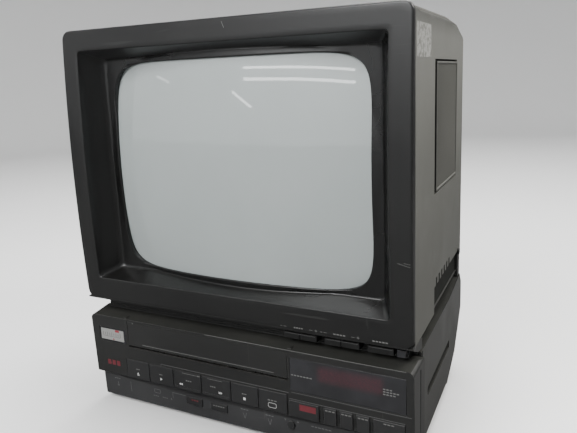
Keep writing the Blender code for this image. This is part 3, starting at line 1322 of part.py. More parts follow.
def make_keys():
    names = ("eject_button", "play_button", "rewind_button", "forward_button", "stop_button",
             "monitor_button")
    span = KEYS_RIGHT - KEYS_LEFT
    for name, start, end in zip(names, KEY_END_shares, KEY_END_shares[1:]):
        make_key(name, KEYS_LEFT + start * span + KEY_SEAM / 2, KEYS_LEFT + end * span - KEY_SEAM / 2,
                 KEYS_LOW, KEYS_TOP, KEY_PROUD, KEY_BLACK, False)
    for name, left, right in timer_keys():
        make_key(name, left, right, TIMER_LOW, TIMER_TOP, TIMER_PROUD, KEY_BLACK)
    for name, centre, width in (("record_button", RECORD_X, RECORD_WIDTH),
                                ("pause_button", PAUSE_X, PAUSE_WIDTH)):
        make_key(name, centre - width / 2, centre + width / 2, LOWER_KEY_LOW, LOWER_KEY_TOP, LOWER_PROUD,
                 KEY_BLACK)
    face = fascia_face(KNOB_Z)
    back = face + WALL + 2 * GAP
    knob = rod("knob_cap", KNOB_RADIUS, (KNOB_X, face - GAP, KNOB_Z), (KNOB_X, face - KNOB_PROUD, KNOB_Z))
    join(knob, rod("knob_stem", KNOB_STEM, (KNOB_X, face - KNOB_PROUD / 2, KNOB_Z),
                   (KNOB_X, back + LIP, KNOB_Z)),
         rod("knob_clip", KNOB_STEM + LIP, (KNOB_X, back, KNOB_Z), (KNOB_X, back + LIP, KNOB_Z)))
    make(knob, "tracking_knob", KEY_BLACK, (KNOB_X, face, KNOB_Z))


# Tape deck

def make_deck_plate():
    top = DECK_Z + DECK_THICK
    plate = block("deck_sheet", (DECK_LEFT, DECK_RIGHT), (DECK_FRONT, DECK_BACK), (DECK_Z, top))
    near = TRAY_HALF + CARRIAGE_THICK + 3 * GAP
    for side in (-1, 1):
        wall = block("deck_guide", (BAY_X + side * near, BAY_X + side * (near + GUIDE_THICK)),
                     (GUIDE_FRONT, GUIDE_BACK), (DECK_Z + DECK_THICK / 2, GUIDE_TOP))
        join(plate, wall)
    for depth in (TRAY_FRONT + PIN_INSET, TRAY_FRONT + TRAY_LENGTH - PIN_INSET / 2):
        ends = (BAY_X - near - 2 * GUIDE_THICK, BAY_X + near + 2 * GUIDE_THICK)
        reach = GUIDE_PIN + GAP
        cut(plate, block("guide_slot", ends, (depth - reach, depth + LOAD_IN + reach),
                         (CARRIAGE_PIN_Z - reach, CARRIAGE_PIN_Z + reach)))
    for side in (-1, 1):
        reel_x = BAY_X + side * REEL_SPACING / 2
        join(plate, rod("reel_collar", REEL_FLANGE, (reel_x, REEL_Y, DECK_Z + DECK_THICK / 2),
                        (reel_x, REEL_Y, REEL_LOW - GAP)),
             rod("reel_post", REEL_POST, (reel_x, REEL_Y, DECK_Z + DECK_THICK / 2),
                 (reel_x, REEL_Y, REEL_TOP)))
    join(plate, rod("arm_collar", ARM_HALF, (ARM_X, ARM_Y, DECK_Z + DECK_THICK / 2),
                    (ARM_X, ARM_Y, ARM_LOW - GAP)),
         rod("arm_post", ARM_POST, (ARM_X, ARM_Y, DECK_Z + DECK_THICK / 2),
             (ARM_X, ARM_Y, ARM_LOW + 2 * ARM_THICK)),
         rod("cam_collar", REEL_FLANGE, (CAM_X, CAM_Y, DECK_Z + DECK_THICK / 2),
             (CAM_X, CAM_Y, CAM_LOW - GAP)),
         rod("cam_post", REEL_POST, (CAM_X, CAM_Y, DECK_Z + DECK_THICK / 2),
             (CAM_X, CAM_Y, CAM_LOW + CAM_HEIGHT)),
         rod("capstan_sleeve", CAPSTAN_RADIUS + 2 * GAP + CARRIAGE_THICK, (CAPSTAN_X, CAPSTAN_Y, DECK_Z),
             (CAPSTAN_X, CAPSTAN_Y, ARM_LOW)))
    cut(plate, rod("capstan_bore", CAPSTAN_RADIUS + GAP, (CAPSTAN_X, CAPSTAN_Y, DECK_Z - OVERRUN),
                   (CAPSTAN_X, CAPSTAN_Y, ARM_LOW + OVERRUN)))
    make(plate, "deck_plate", ZINC)


def make_cradle():
    outer = TRAY_HALF + GAP + CARRIAGE_THICK
    inner = TRAY_HALF + GAP
    back = TRAY_FRONT + TRAY_LENGTH
    outline = [(BAY_X - outer, CARRIAGE_LOW), (BAY_X - inner, CARRIAGE_LOW),
               (BAY_X - inner, CARRIAGE_TOP - CARRIAGE_THICK), (BAY_X + inner, CARRIAGE_TOP - CARRIAGE_THICK),
               (BAY_X + inner, CARRIAGE_LOW), (BAY_X + outer, CARRIAGE_LOW), (BAY_X + outer, CARRIAGE_TOP),
               (BAY_X - outer, CARRIAGE_TOP)]
    carriage = slab("carriage_bridge", [outline], "y", TRAY_FRONT + PIN_INSET / 2, back)
    window = block("carriage_window", (BAY_X - TRAY_HALF / 2, BAY_X + TRAY_HALF / 2),
                   (TRAY_FRONT + PIN_INSET, back - PIN_INSET), (TRAY_TOP, CARRIAGE_TOP + OVERRUN))
    cut(carriage, window)
    pins = []
    for depth in (TRAY_FRONT + PIN_INSET, back - PIN_INSET / 2):
        reach = GUIDE_PIN + GAP
        cut(carriage, block("tray_slot", (BAY_X - outer - OVERRUN, BAY_X + outer + OVERRUN),
                            (depth - reach, depth + reach),
                            (TRAY_PIN_Z - LOAD_DOWN - reach, TRAY_PIN_Z + reach)))
        for side in (-1, 1):
            join(carriage, rod("carriage_pin", GUIDE_PIN,
                               (BAY_X + side * (inner + CARRIAGE_THICK / 2), depth, CARRIAGE_PIN_Z),
                               (BAY_X + side * (outer + 2 * GAP + GUIDE_THICK), depth, CARRIAGE_PIN_Z)))
            pins.append(rod("tray_pin", GUIDE_PIN,
                            (BAY_X + side * (TRAY_HALF - TRAY_WALL / 2), depth, TRAY_PIN_Z),
                            (BAY_X + side * outer, depth, TRAY_PIN_Z)))
    carriage = make(carriage, "cassette_carriage", ZINC, (BAY_X, TRAY_FRONT, CARRIAGE_TOP))
    outline = [(BAY_X - TRAY_HALF, TRAY_LOW), (BAY_X - TRAY_HALF + TRAY_LEDGE, TRAY_LOW),
               (BAY_X - TRAY_HALF + TRAY_LEDGE, TRAY_LOW + TRAY_WALL),
               (BAY_X - TRAY_HALF + TRAY_WALL, TRAY_LOW + TRAY_WALL),
               (BAY_X - TRAY_HALF + TRAY_WALL, TRAY_TOP - TRAY_WALL),
               (BAY_X + TRAY_HALF - TRAY_WALL, TRAY_TOP - TRAY_WALL),
               (BAY_X + TRAY_HALF - TRAY_WALL, TRAY_LOW + TRAY_WALL),
               (BAY_X + TRAY_HALF - TRAY_LEDGE, TRAY_LOW + TRAY_WALL),
               (BAY_X + TRAY_HALF - TRAY_LEDGE, TRAY_LOW), (BAY_X + TRAY_HALF, TRAY_LOW),
               (BAY_X + TRAY_HALF, TRAY_TOP), (BAY_X - TRAY_HALF, TRAY_TOP)]
    tray = slab("tray_channel", [outline], "y", TRAY_FRONT, back)
    join(tray, *pins)
    make(tray, "cassette_tray", STEEL, (BAY_X, TRAY_FRONT, TRAY_TOP))


def make_reels():
    for side, name in ((-1, "supply_reel"), (1, "takeup_reel")):
        bore = REEL_POST + SLACK
        disc = (REEL_TOP - REEL_LOW) / 4
        profile = [(bore, REEL_TOP), (REEL_HUB, REEL_TOP), (REEL_HUB, REEL_LOW + disc),
                   (REEL_RADIUS, REEL_LOW + disc), (REEL_RADIUS, REEL_LOW), (bore, REEL_LOW)]
        centre = (BAY_X + side * REEL_SPACING / 2, REEL_Y, 0.0)
        make(turned(name + "_body", profile, centre, (0.0, 0.0, 1.0)), name, NYLON,
             (centre[0], REEL_Y, REEL_LOW))


def drum_axis():
    tilt = math.radians(DRUM_TILT_DEG)
    return Vector((0.0, -math.sin(tilt), math.cos(tilt)))


def make_drum():
    centre = Vector((BAY_X, DRUM_Y, DRUM_SPLIT))
    axis = drum_axis()
    floor = DECK_Z + DECK_THICK + GAP
    foot = rod("drum_foot", DRUM_FOOT, (BAY_X, DRUM_Y, floor), (BAY_X, DRUM_Y, floor + DRUM_FOOT / 2),
               ROUND_STEPS)
    low = centre - axis * (DRUM_SPLIT - floor - DRUM_FOOT / 4)
    join(foot, rod("drum_low", DRUM_RADIUS, low, centre, ROUND_STEPS),
         rod("drum_shaft", DRUM_SHAFT, centre - axis * OVERRUN, centre + axis * (DRUM_TOP - DRUM_SPLIT)))
    make(foot, "drum_base", BRIGHT)
    bore = DRUM_SHAFT + SLACK
    height = DRUM_TOP - DRUM_SPLIT
    profile = [(bore, height), (DRUM_RADIUS - DRUM_CHAMFER, height),
               (DRUM_RADIUS, height - DRUM_CHAMFER_HEIGHT), (DRUM_RADIUS, RUNNING), (bore, RUNNING)]
    make(turned("drum_top", profile, centre, axis), "head_drum", BRIGHT, centre)


def make_tape_drive():
    shaft = rod("capstan_shaft", CAPSTAN_RADIUS, (CAPSTAN_X, CAPSTAN_Y, FLYWHEEL_LOW + OVERRUN),
                (CAPSTAN_X, CAPSTAN_Y, CAPSTAN_TOP))
    wheel = rod("flywheel", FLYWHEEL_RADIUS, (CAPSTAN_X, CAPSTAN_Y, FLYWHEEL_LOW),
                (CAPSTAN_X, CAPSTAN_Y, FLYWHEEL_TOP), ROUND_STEPS)
    collar = rod("flywheel_collar", 2 * CAPSTAN_RADIUS, (CAPSTAN_X, CAPSTAN_Y, FLYWHEEL_TOP - OVERRUN),
                 (CAPSTAN_X, CAPSTAN_Y, DECK_Z - GAP))
    make(join(wheel, shaft, collar), "capstan_flywheel", BRIGHT, (CAPSTAN_X, CAPSTAN_Y, FLYWHEEL_LOW))
    heading = math.radians(ARM_REST_DEG)
    roller = (ARM_X + ARM_LENGTH * math.cos(heading), ARM_Y + ARM_LENGTH * math.sin(heading))
    top = ARM_LOW + ARM_THICK
    bar = slab("arm_bar", [rectangle(0.0, ARM_LENGTH, -ARM_HALF, ARM_HALF)], "z", ARM_LOW, top, heading,
               (ARM_X, ARM_Y, 0.0))
    join(bar, rod("arm_hub", ARM_HUB, (ARM_X, ARM_Y, ARM_LOW), (ARM_X, ARM_Y, top + GAP)),
         rod("arm_end", ARM_END, (*roller, ARM_LOW), (*roller, top + GAP)),
         rod("roller_post", ROLLER_POST, (*roller, top - OVERRUN),
             (*roller, top + ROLLER_HEIGHT + ARM_THICK)))
    cut(bar, rod("arm_bore", ARM_POST + SLACK, (ARM_X, ARM_Y, ARM_LOW - OVERRUN),
                 (ARM_X, ARM_Y, top + OVERRUN)))
    make(bar, "pinch_arm", STEEL, (ARM_X, ARM_Y, ARM_LOW))
    bore = ROLLER_POST + SLACK
    low = top + 2 * GAP
    profile = [(bore, low + ROLLER_HEIGHT), (ROLLER_RADIUS, low + ROLLER_HEIGHT), (ROLLER_RADIUS, low),
               (bore, low)]
    make(turned("roller_body", profile, (*roller, 0.0), (0.0, 0.0, 1.0), SMALL_STEPS), "pinch_roller",
         RUBBER, (*roller, low))


def make_loading_drive():
    outline = []
    for i in range(2 * CAM_TEETH):
        angle = 2 * math.pi * i / (2 * CAM_TEETH)
        radius = CAM_RADIUS + (CAM_TOOTH if i % 2 else 0.0)
        outline.append((radius * math.cos(angle), radius * math.sin(angle)))
    gear = slab("cam_teeth", [outline], "z", CAM_LOW, CAM_LOW + CAM_HEIGHT, 0.0, (CAM_X, CAM_Y, 0.0))
    cut(gear, rod("cam_bore", REEL_POST + SLACK, (CAM_X, CAM_Y, CAM_LOW - OVERRUN),
                  (CAM_X, CAM_Y, CAM_LOW + CAM_HEIGHT + OVERRUN)))
    make(gear, "cam_gear", NYLON, (CAM_X, CAM_Y, CAM_LOW))
    back = MOTOR_FRONT + MOTOR_LENGTH
    motor = rod("motor_can", MOTOR_RADIUS, (MOTOR_X, MOTOR_FRONT, MOTOR_Z), (MOTOR_X, back, MOTOR_Z))
    saddle = block("motor_saddle", (MOTOR_X - MOTOR_RADIUS / 2, MOTOR_X + MOTOR_RADIUS / 2),
                   (MOTOR_FRONT + SADDLE_DEPTH, back - SADDLE_DEPTH),
                   (DECK_Z + DECK_THICK + GAP, MOTOR_Z))
    join(motor, saddle, rod("motor_shaft", MOTOR_SHAFT, (MOTOR_X, MOTOR_FRONT - MOTOR_SHAFT_LENGTH, MOTOR_Z),
                            (MOTOR_X, MOTOR_FRONT + OVERRUN, MOTOR_Z)))
    make(motor, "loading_motor", STEEL)


def make_vcr_insides():
    make(block("vcr_board_plate", (VCR_BOARD_LEFT, VCR_BOARD_RIGHT), (VCR_BOARD_FRONT, VCR_BOARD_BACK),
               (VCR_BOARD_Z, VCR_BOARD_Z + BOARD)), "vcr_board", BOARD_BROWN)
    low = PAN_FLOOR + PAN_WALL + GAP
    core = block("mains_core", (MAINS_X - MAINS_WIDTH / 2, MAINS_X + MAINS_WIDTH / 2),
                 (MAINS_Y - MAINS_DEPTH / 2, MAINS_Y + MAINS_DEPTH / 2), (low, low + MAINS_HEIGHT))
    coil = block("mains_coil", (MAINS_X - MAINS_WIDTH / 4, MAINS_X + MAINS_WIDTH / 4),
                 (MAINS_Y - MAINS_COIL / 2, MAINS_Y + MAINS_COIL / 2),
                 (low + WALL, low + MAINS_HEIGHT - WALL))
    make(join(core, coil), "power_transformer", COPPER)


make_bezel()
make_tv_keys()
make_rear_cover()
make_grille()
make_speaker()
make_tube()
make_band()
make_yoke()
make_neck_board()
make_tv_insides()
make_rear_fittings()
make_neck()
make_case()
make_pan()
make_feet()
make_fascia()
make_windows()
make_door()
make_keys()
make_deck_plate()
make_cradle()
make_reels()
make_drum()
make_tape_drive()
make_loading_drive()
make_vcr_insides()

for part in PARTS.objects:
    if part.type == "MESH":
        part.data.shade_smooth()
        part.data.set_sharp_from_angle(angle=SHARP_ANGLE)
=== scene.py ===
import json
import math

import bmesh
import bpy
from mathutils import Matrix, Vector


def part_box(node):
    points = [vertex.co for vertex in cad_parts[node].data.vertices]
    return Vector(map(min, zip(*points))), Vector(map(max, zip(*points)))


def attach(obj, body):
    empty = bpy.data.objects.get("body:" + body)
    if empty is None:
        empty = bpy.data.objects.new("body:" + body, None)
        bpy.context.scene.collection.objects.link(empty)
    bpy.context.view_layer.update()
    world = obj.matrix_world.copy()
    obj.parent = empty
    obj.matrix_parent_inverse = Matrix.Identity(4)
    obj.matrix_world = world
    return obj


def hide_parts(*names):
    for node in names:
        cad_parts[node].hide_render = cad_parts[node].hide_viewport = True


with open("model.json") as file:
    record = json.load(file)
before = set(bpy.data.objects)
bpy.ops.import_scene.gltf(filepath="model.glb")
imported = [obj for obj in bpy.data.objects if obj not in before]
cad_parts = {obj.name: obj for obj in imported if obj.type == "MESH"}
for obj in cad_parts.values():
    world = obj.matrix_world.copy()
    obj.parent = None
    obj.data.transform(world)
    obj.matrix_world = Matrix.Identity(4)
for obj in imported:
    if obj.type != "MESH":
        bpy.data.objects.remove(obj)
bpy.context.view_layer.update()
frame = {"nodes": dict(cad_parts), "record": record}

# Places shared with the frame: metres, front towards -Y, feet on z = 0
FRONT = -0.180
CASE_HALF = 0.1873
SIDE_TAPER = math.radians(6.0)

# Camera, as solved from the bezel's and the recorder's edges
CAMERA_PLACE = (0.3530, -0.6824, 0.3545)
CAMERA_YAW = 0.511
CAMERA_PITCH = -0.210
CAMERA_ROLL = 0.040
FOCAL_PIXELS = 659.0
PICTURE_WIDTH = 577
SENSOR = 36.0


def turn_to(obj, across, up, back):
    """Turns a camera or a light so that its own axes lie along three directions."""
    obj.rotation_euler = Matrix((across, up, back)).transposed().to_euler()


def set_camera():
    forward = Vector((-math.sin(CAMERA_YAW) * math.cos(CAMERA_PITCH),
                      math.cos(CAMERA_YAW) * math.cos(CAMERA_PITCH), math.sin(CAMERA_PITCH)))
    right = Vector((math.cos(CAMERA_YAW), math.sin(CAMERA_YAW), 0.0))
    down = forward.cross(right)
    across = right * math.cos(CAMERA_ROLL) + down * math.sin(CAMERA_ROLL)
    up = right * math.sin(CAMERA_ROLL) - down * math.cos(CAMERA_ROLL)
    bpy.ops.object.camera_add(location=CAMERA_PLACE)
    camera = bpy.context.object
    camera.name = "camera"
    turn_to(camera, across, up, -forward)
    camera.data.sensor_width = SENSOR
    camera.data.lens = SENSOR * FOCAL_PIXELS / PICTURE_WIDTH
    camera.data.clip_start = 0.01
    camera.data.dof.use_dof = False
    bpy.context.scene.camera = camera


# Floor and light

FLOOR_RADIUS = 3.0
FLOOR_SIDES = 96
WALL_CURVE = 1.2
WALL_CURVE_STEPS = 10
WALL_HEIGHT = 2.6
WALL_START = 0.25
SEEN_WHITE = (0.92, 0.92, 0.915)
LIT_GREY = (0.15, 0.15, 0.148)
LIT_WALL = (0.75, 0.75, 0.75)
SKY_COLOUR = (0.96, 0.98, 1.0, 1.0)
SKY_STRENGTH = 0.20
SET_MIDDLE = (0.0, 0.0, 0.2)
WHITE_LIGHT = (1.0, 1.0, 1.0)

# Soft lights: name, place, target, width, height, power and colour
SOFT_LIGHTS = (
    ("overhead_softbox", (0.1, 0.5, 2.3), SET_MIDDLE, 1.6, 1.6, 85.0, WHITE_LIGHT),
    ("right_softbox", (0.85, 0.0, 1.05), (0.18, -0.05, 0.35), 0.4, 0.4, 12.5, (1.0, 0.985, 0.95)),
    ("front_softbox", (-0.3, -2.0, 2.0), SET_MIDDLE, 1.2, 1.2, 64.0, WHITE_LIGHT),
    ("wall_wash", (0.0, -2.1, 2.7), (-0.6, -4.1, 1.5), 1.0, 0.5, 140.0, (0.97, 0.99, 1.0)),
)

# Strip lights in front of the set, which show as streaks in the glass: name, ends, thickness and power
STRIP_TARGET = Vector((0.0, FRONT, 0.30))
STRIPS = (
    ("strip_high", (-1.40, -2.66, 1.22), (0.18, -3.02, 1.25), 0.034, 2.9),
    ("strip_low", (-1.40, -2.71, 1.08), (0.19, -3.06, 1.09), 0.040, 3.2),
    ("strip_slanted", (-1.55, -2.67, 0.92), (-1.27, -2.84, 0.73), 0.036, 0.6),
    ("strip_far", (-2.54, -1.76, 0.99), (-2.40, -1.97, 0.94), 0.030, 0.12),
)


def make_floor():
    """A round pale floor that curves up into a pale wall on every side."""
    bpy.ops.mesh.primitive_circle_add(vertices=FLOOR_SIDES, radius=FLOOR_RADIUS, fill_type="NGON")
    floor = bpy.context.object
    floor.name = "studio_floor"
    bpy.ops.object.mode_set(mode="EDIT")
    bpy.ops.mesh.select_mode(type="EDGE")
    for step in range(WALL_CURVE_STEPS):
        before = math.pi / 2 * step / WALL_CURVE_STEPS
        after = math.pi / 2 * (step + 1) / WALL_CURVE_STEPS
        start = FLOOR_RADIUS + WALL_CURVE * math.sin(before)
        growth = (FLOOR_RADIUS + WALL_CURVE * math.sin(after)) / start
        rise = WALL_CURVE * (math.cos(before) - math.cos(after))
        form = bmesh.from_edit_mesh(floor.data)
        for face in form.faces:
            face.select_set(False)
        for edge in form.edges:
            edge.select_set(edge.is_boundary)
        bmesh.update_edit_mesh(floor.data)
        bpy.ops.mesh.extrude_edges_move(TRANSFORM_OT_translate={"value": (0.0, 0.0, rise)})
        bpy.ops.transform.resize(value=(growth, growth, 1.0), center_override=(0.0, 0.0, 0.0))
    bpy.ops.mesh.extrude_edges_move(TRANSFORM_OT_translate={"value": (0.0, 0.0, WALL_HEIGHT)})
    close_edit()
    bpy.ops.object.shade_smooth()
    floor.data.materials.append(studio_paint("studio_floor_paint", LIT_GREY))
    refinish(floor, studio_paint("studio_wall_paint", LIT_WALL), lambda face: face.center.z > WALL_START)


def studio_paint(name, returned):
    """White to look at; what it throws back on the set is given apart."""
    paint, tree, shader = new_finish(name, 0.9)
    path = tree.nodes.new("ShaderNodeLightPath")
    tone = blend_colour(tree, path.outputs["Is Camera Ray"], returned, SEEN_WHITE)
    tree.links.new(tone, shader.inputs["Base Color"])
    shader.inputs["Specular IOR Level"].default_value = 0.1
    return paint


def area_light(name, place, width, height, power):
    """A rectangular light that the camera doesn't see."""
    bpy.ops.object.light_add(type="AREA", location=place)
    light = bpy.context.object
    light.name = name
    light.data.shape = "RECTANGLE"
    light.data.size = width
    light.data.size_y = height
    light.data.energy = power
    light.visible_camera = False
    return light


def set_light():
    world = bpy.data.worlds.new("studio")
    world.use_nodes = True
    sky = world.node_tree.nodes["Background"]
    sky.inputs["Color"].default_value = SKY_COLOUR
    sky.inputs["Strength"].default_value = SKY_STRENGTH
    bpy.context.scene.world = world
    for name, place, target, width, height, power, colour in SOFT_LIGHTS:
        light = area_light(name, place, width, height, power)
        light.data.color = colour
        aim = Vector(target) - Vector(place)
        light.rotation_euler = aim.to_track_quat("-Z", "Y").to_euler()
    for name, start, end, thick, power in STRIPS:
        middle = (Vector(start) + Vector(end)) / 2
        length = (Vector(end) - Vector(start)).length
        along = (Vector(end) - Vector(start)).normalized()
        across = along.cross((STRIP_TARGET - middle).normalized()).normalized()
        turn_to(area_light(name, middle, length, thick, power), along, across, along.cross(across))


# Modelling helpers

CORNER_DEG = 35.0
FLAT = math.radians(0.3)
MERGE = 0.000004
NEAR_Y = 0.0004
NEAR_Z = 0.0002


def pick(obj):
    """Makes one piece the only selected and active object."""
    bpy.ops.object.select_all(action="DESELECT")
    obj.select_set(True)
    bpy.context.view_layer.objects.active = obj
    return obj


def choose(obj, kind, test):
    """Opens a piece in edit mode with only the edges or faces that pass the test selected."""
    pick(obj)
    bpy.ops.object.mode_set(mode="EDIT")
    bpy.ops.mesh.select_mode(type=kind)
    bpy.ops.mesh.select_all(action="DESELECT")
    form = bmesh.from_edit_mesh(obj.data)
    for item in {"EDGE": form.edges, "FACE": form.faces}[kind]:
        if test(item):
            item.select_set(True)
    form.select_flush_mode()
    bmesh.update_edit_mesh(obj.data)


def close_edit():
    bpy.ops.object.mode_set(mode="OBJECT")


def settle(obj):
    """Puts the piece's place, turn and size into its mesh."""
    pick(obj)
    bpy.ops.object.transform_apply(location=True, rotation=True, scale=True)
    return obj


def apply_all(obj):
    pick(obj)
    for modifier in list(obj.modifiers):
        bpy.ops.object.modifier_apply(modifier=modifier.name)
    return obj


def smooth(obj, angle_deg=CORNER_DEG):
    pick(obj)
    bpy.ops.object.shade_smooth_by_angle(angle=math.radians(angle_deg))
    return obj


def round_edges(obj, width, segments):
    """Rounds every edge that turns enough to be a corner, then shades it smooth."""
    bevel = obj.modifiers.new("Round edges", "BEVEL")
    bevel.width = width
    bevel.segments = segments
    bevel.limit_method = "ANGLE"
    bevel.angle_limit = math.radians(CORNER_DEG)
    bevel.miter_outer = "MITER_ARC"
    bevel.use_clamp_overlap = True
    apply_all(obj)
    return level(smooth(obj))


def bevel_edges(obj, test, width, segments):
    """Rounds only the edges that pass the test."""
    choose(obj, "EDGE", test)
    bpy.ops.mesh.bevel(offset=width, segments=segments, affect="EDGES")
    close_edit()
    return obj


def level(obj):
    """Keeps large flat faces evenly shaded next to rounded edges."""
    shading = obj.modifiers.new("Level shading", "WEIGHTED_NORMAL")
    shading.keep_sharp = True
    return apply_all(obj)


def reach(edge, axis):
    """How far an edge runs along one axis: 0 is x, 1 is y and 2 is z."""
    first, second = edge.verts
    return abs(first.co[axis] - second.co[axis])


def on_line(edge, y, z):
    """Whether an edge lies on the line across the set at this depth and height."""
    return all(abs(point.co.y - y) < NEAR_Y and abs(point.co.z - z) < NEAR_Z for point in edge.verts)


def box(name, low, high):
    """A box between its lowest and highest corner."""
    low = Vector(low)
    high = Vector(high)
    bpy.ops.object.select_all(action="DESELECT")
    bpy.ops.mesh.primitive_cube_add(size=1.0, location=(low + high) / 2, scale=high - low)
    obj = bpy.context.object
    obj.name = name
    return settle(obj)


def mirrored_box(name, xs, ys, zs, side=1):
    """A box given by its ranges, on the right (1) or mirrored to the left (-1)."""
    low, high = sorted((side * xs[0], side * xs[1]))
    return box(name, (low, ys[0], zs[0]), (high, ys[1], zs[1]))


def disc(name, radius, length, centre, direction, sides):
    """A cylinder whose near end is at centre and which runs along direction."""
    aim = Vector(direction).normalized()
    bpy.ops.object.select_all(action="DESELECT")
    bpy.ops.mesh.primitive_cylinder_add(vertices=sides, radius=radius, depth=length,
                                        location=Vector(centre) + aim * length / 2,
                                        rotation=aim.to_track_quat("Z", "Y").to_euler())
    obj = bpy.context.object
    obj.name = name
    return settle(obj)


def carve(obj, *cutters):
    """Cuts other solids out of a piece and removes them."""
    for cutter in cutters:
        cut = obj.modifiers.new("Cut " + cutter.name, "BOOLEAN")
        cut.operation = "DIFFERENCE"
        cut.solver = "EXACT"
        cut.object = cutter
        apply_all(obj)
        bpy.data.objects.remove(cutter, do_unlink=True)
    return obj


def joined(name, *parts):
    """Several meshes made one object."""
    bpy.ops.object.select_all(action="DESELECT")
    for part in parts:
        part.select_set(True)
    bpy.context.view_layer.objects.active = parts[0]
    bpy.ops.object.join()
    parts[0].name = name
    return parts[0]


def skin(name, rings, loop=False):
    """A skin drawn through rings of equally many points, closed at its ends or back on itself."""
    bpy.ops.object.select_all(action="DESELECT")
    bpy.ops.mesh.primitive_circle_add(vertices=len(rings[0]), radius=1.0)
    obj = bpy.context.object
    obj.name = name
    bpy.ops.object.mode_set(mode="EDIT")
    bpy.ops.mesh.select_all(action="SELECT")
    form = bmesh.from_edit_mesh(obj.data)
    turn = form.verts.layers.int.new("turn")
    for number, point in enumerate(form.verts):
        point[turn] = number
        point.co = rings[0][number]
    bmesh.update_edit_mesh(obj.data)
    for ring in rings[1:]:
        bpy.ops.mesh.extrude_edges_move()
        form = bmesh.from_edit_mesh(obj.data)
        turn = form.verts.layers.int["turn"]
        for point in form.verts:
            if point.select:
                point.co = ring[point[turn]]
        bmesh.update_edit_mesh(obj.data)
    bpy.ops.mesh.select_mode(type="EDGE")
    bpy.ops.mesh.select_all(action="DESELECT")
    bpy.ops.mesh.select_non_manifold()
    if loop:
        bpy.ops.mesh.bridge_edge_loops()
    else:
        bpy.ops.mesh.edge_face_add()
    bpy.ops.mesh.select_all(action="SELECT")
    bpy.ops.mesh.normals_make_consistent(inside=False)
    close_edit()
    return obj


def finish_piece(obj, body, slot, finish, *replaced):
    """Gives a piece its finish, lets it ride on its body and takes the place of frame pieces."""
    obj.data.name = obj.name
    obj.data.materials.clear()
    obj.data.materials.append(FINISH[finish])
    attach(obj, body)
    if replaced:
        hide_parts(*replaced)
    return obj


def refinish(obj, material, test):
    """Gives the faces that pass the test a second finish."""
    obj.data.materials.append(material)
    for face in obj.data.polygons:
        if test(face):
            face.material_index = len(obj.data.materials) - 1


def copy_of(node, name, whole_faces=True):
    """A finer start from a frame piece: its loose triangles merged, and made whole flat faces."""
    obj = bpy.data.objects.new(name, frame["nodes"][node].data.copy())
    bpy.context.scene.collection.objects.link(obj)
    obj.data.materials.clear()
    pick(obj)
    bpy.ops.object.mode_set(mode="EDIT")
    bpy.ops.mesh.select_all(action="SELECT")
    bpy.ops.mesh.remove_doubles(threshold=MERGE)
    if whole_faces:
        bpy.ops.mesh.dissolve_limited(angle_limit=FLAT)
    close_edit()
    return obj


# Effects shared by several finishes

def new_group(name, outputs, inputs):
    """An empty node group with named number outputs, and number inputs with their usual values."""
    group = bpy.data.node_groups.new(name, "ShaderNodeTree")
    for label, value in inputs.items():
        socket = group.interface.new_socket(name=label, in_out="INPUT", socket_type="NodeSocketFloat")
        socket.default_value = value
    for label in outputs:
        group.interface.new_socket(name=label, in_out="OUTPUT", socket_type="NodeSocketFloat")
    return group, group.nodes.new("NodeGroupInput").outputs, group.nodes.new("NodeGroupOutput").inputs


def feed(tree, socket, value):
    """Links a socket to another one, or sets it to a number or a colour."""
    if isinstance(value, bpy.types.NodeSocket):
        tree.links.new(value, socket)
    elif isinstance(value, tuple):
        socket.default_value = (*value, 1.0)
    else:
        socket.default_value = value


def sum_up(tree, operation, first, second):
    """A Math node on two values, each a socket or a number."""
    node = tree.nodes.new("ShaderNodeMath")
    node.operation = operation
    feed(tree, node.inputs[0], first)
    feed(tree, node.inputs[1], second)
    return node.outputs["Value"]


def product(tree, first, *others):
    """Several values multiplied."""
    for other in others:
        first = sum_up(tree, "MULTIPLY", first, other)
    return first


def blend_colour(tree, share, first, second):
    """A colour mixed from two, each a socket or a colour."""
    node = tree.nodes.new("ShaderNodeMix")
    node.data_type = "RGBA"
    for index, value in ((0, share), (6, first), (7, second)):
        feed(tree, node.inputs[index], value)
    return node.outputs[2]


def shade(colour, share):
    """A colour made darker."""
    return tuple(share * part for part in colour)


def spread(tree, value, low, high, new_low=0.0, new_high=1.0):
    """A value brought from one range to another and held there."""
    node = tree.nodes.new("ShaderNodeMapRange")
    node.clamp = True
    node.interpolation_type = "SMOOTHSTEP"
    tree.links.new(value, node.inputs["Value"])
    node.inputs["From Min"].default_value = low
    node.inputs["From Max"].default_value = high
    node.inputs["To Min"].default_value = new_low
    node.inputs["To Max"].default_value = new_high
    return node.outputs["Result"]


def parts_of(tree, vector):
    """A vector's X, Y and Z."""
    split = tree.nodes.new("ShaderNodeSeparateXYZ")
    tree.links.new(vector, split.inputs["Vector"])
    return split.outputs


def object_place(tree):
    """Object coordinates; a finished piece sits at the origin, so Z is the height over the table."""
    return tree.nodes.new("ShaderNodeTexCoord").outputs["Object"]


EVEN = (1.0, 1.0, 1.0)


def mottle(tree, scale, detail=3.0, stretch=EVEN):
    """Noise on Object coordinates, stretched along the axes."""
    scaled = tree.nodes.new("ShaderNodeMapping")
    scaled.inputs["Scale"].default_value = stretch
    noise = tree.nodes.new("ShaderNodeTexNoise")
    noise.inputs["Detail"].default_value = detail
    tree.links.new(object_place(tree), scaled.inputs["Vector"])
    tree.links.new(scaled.outputs["Vector"], noise.inputs["Vector"])
    feed(tree, noise.inputs["Scale"], scale)
    return noise.outputs["Fac"]


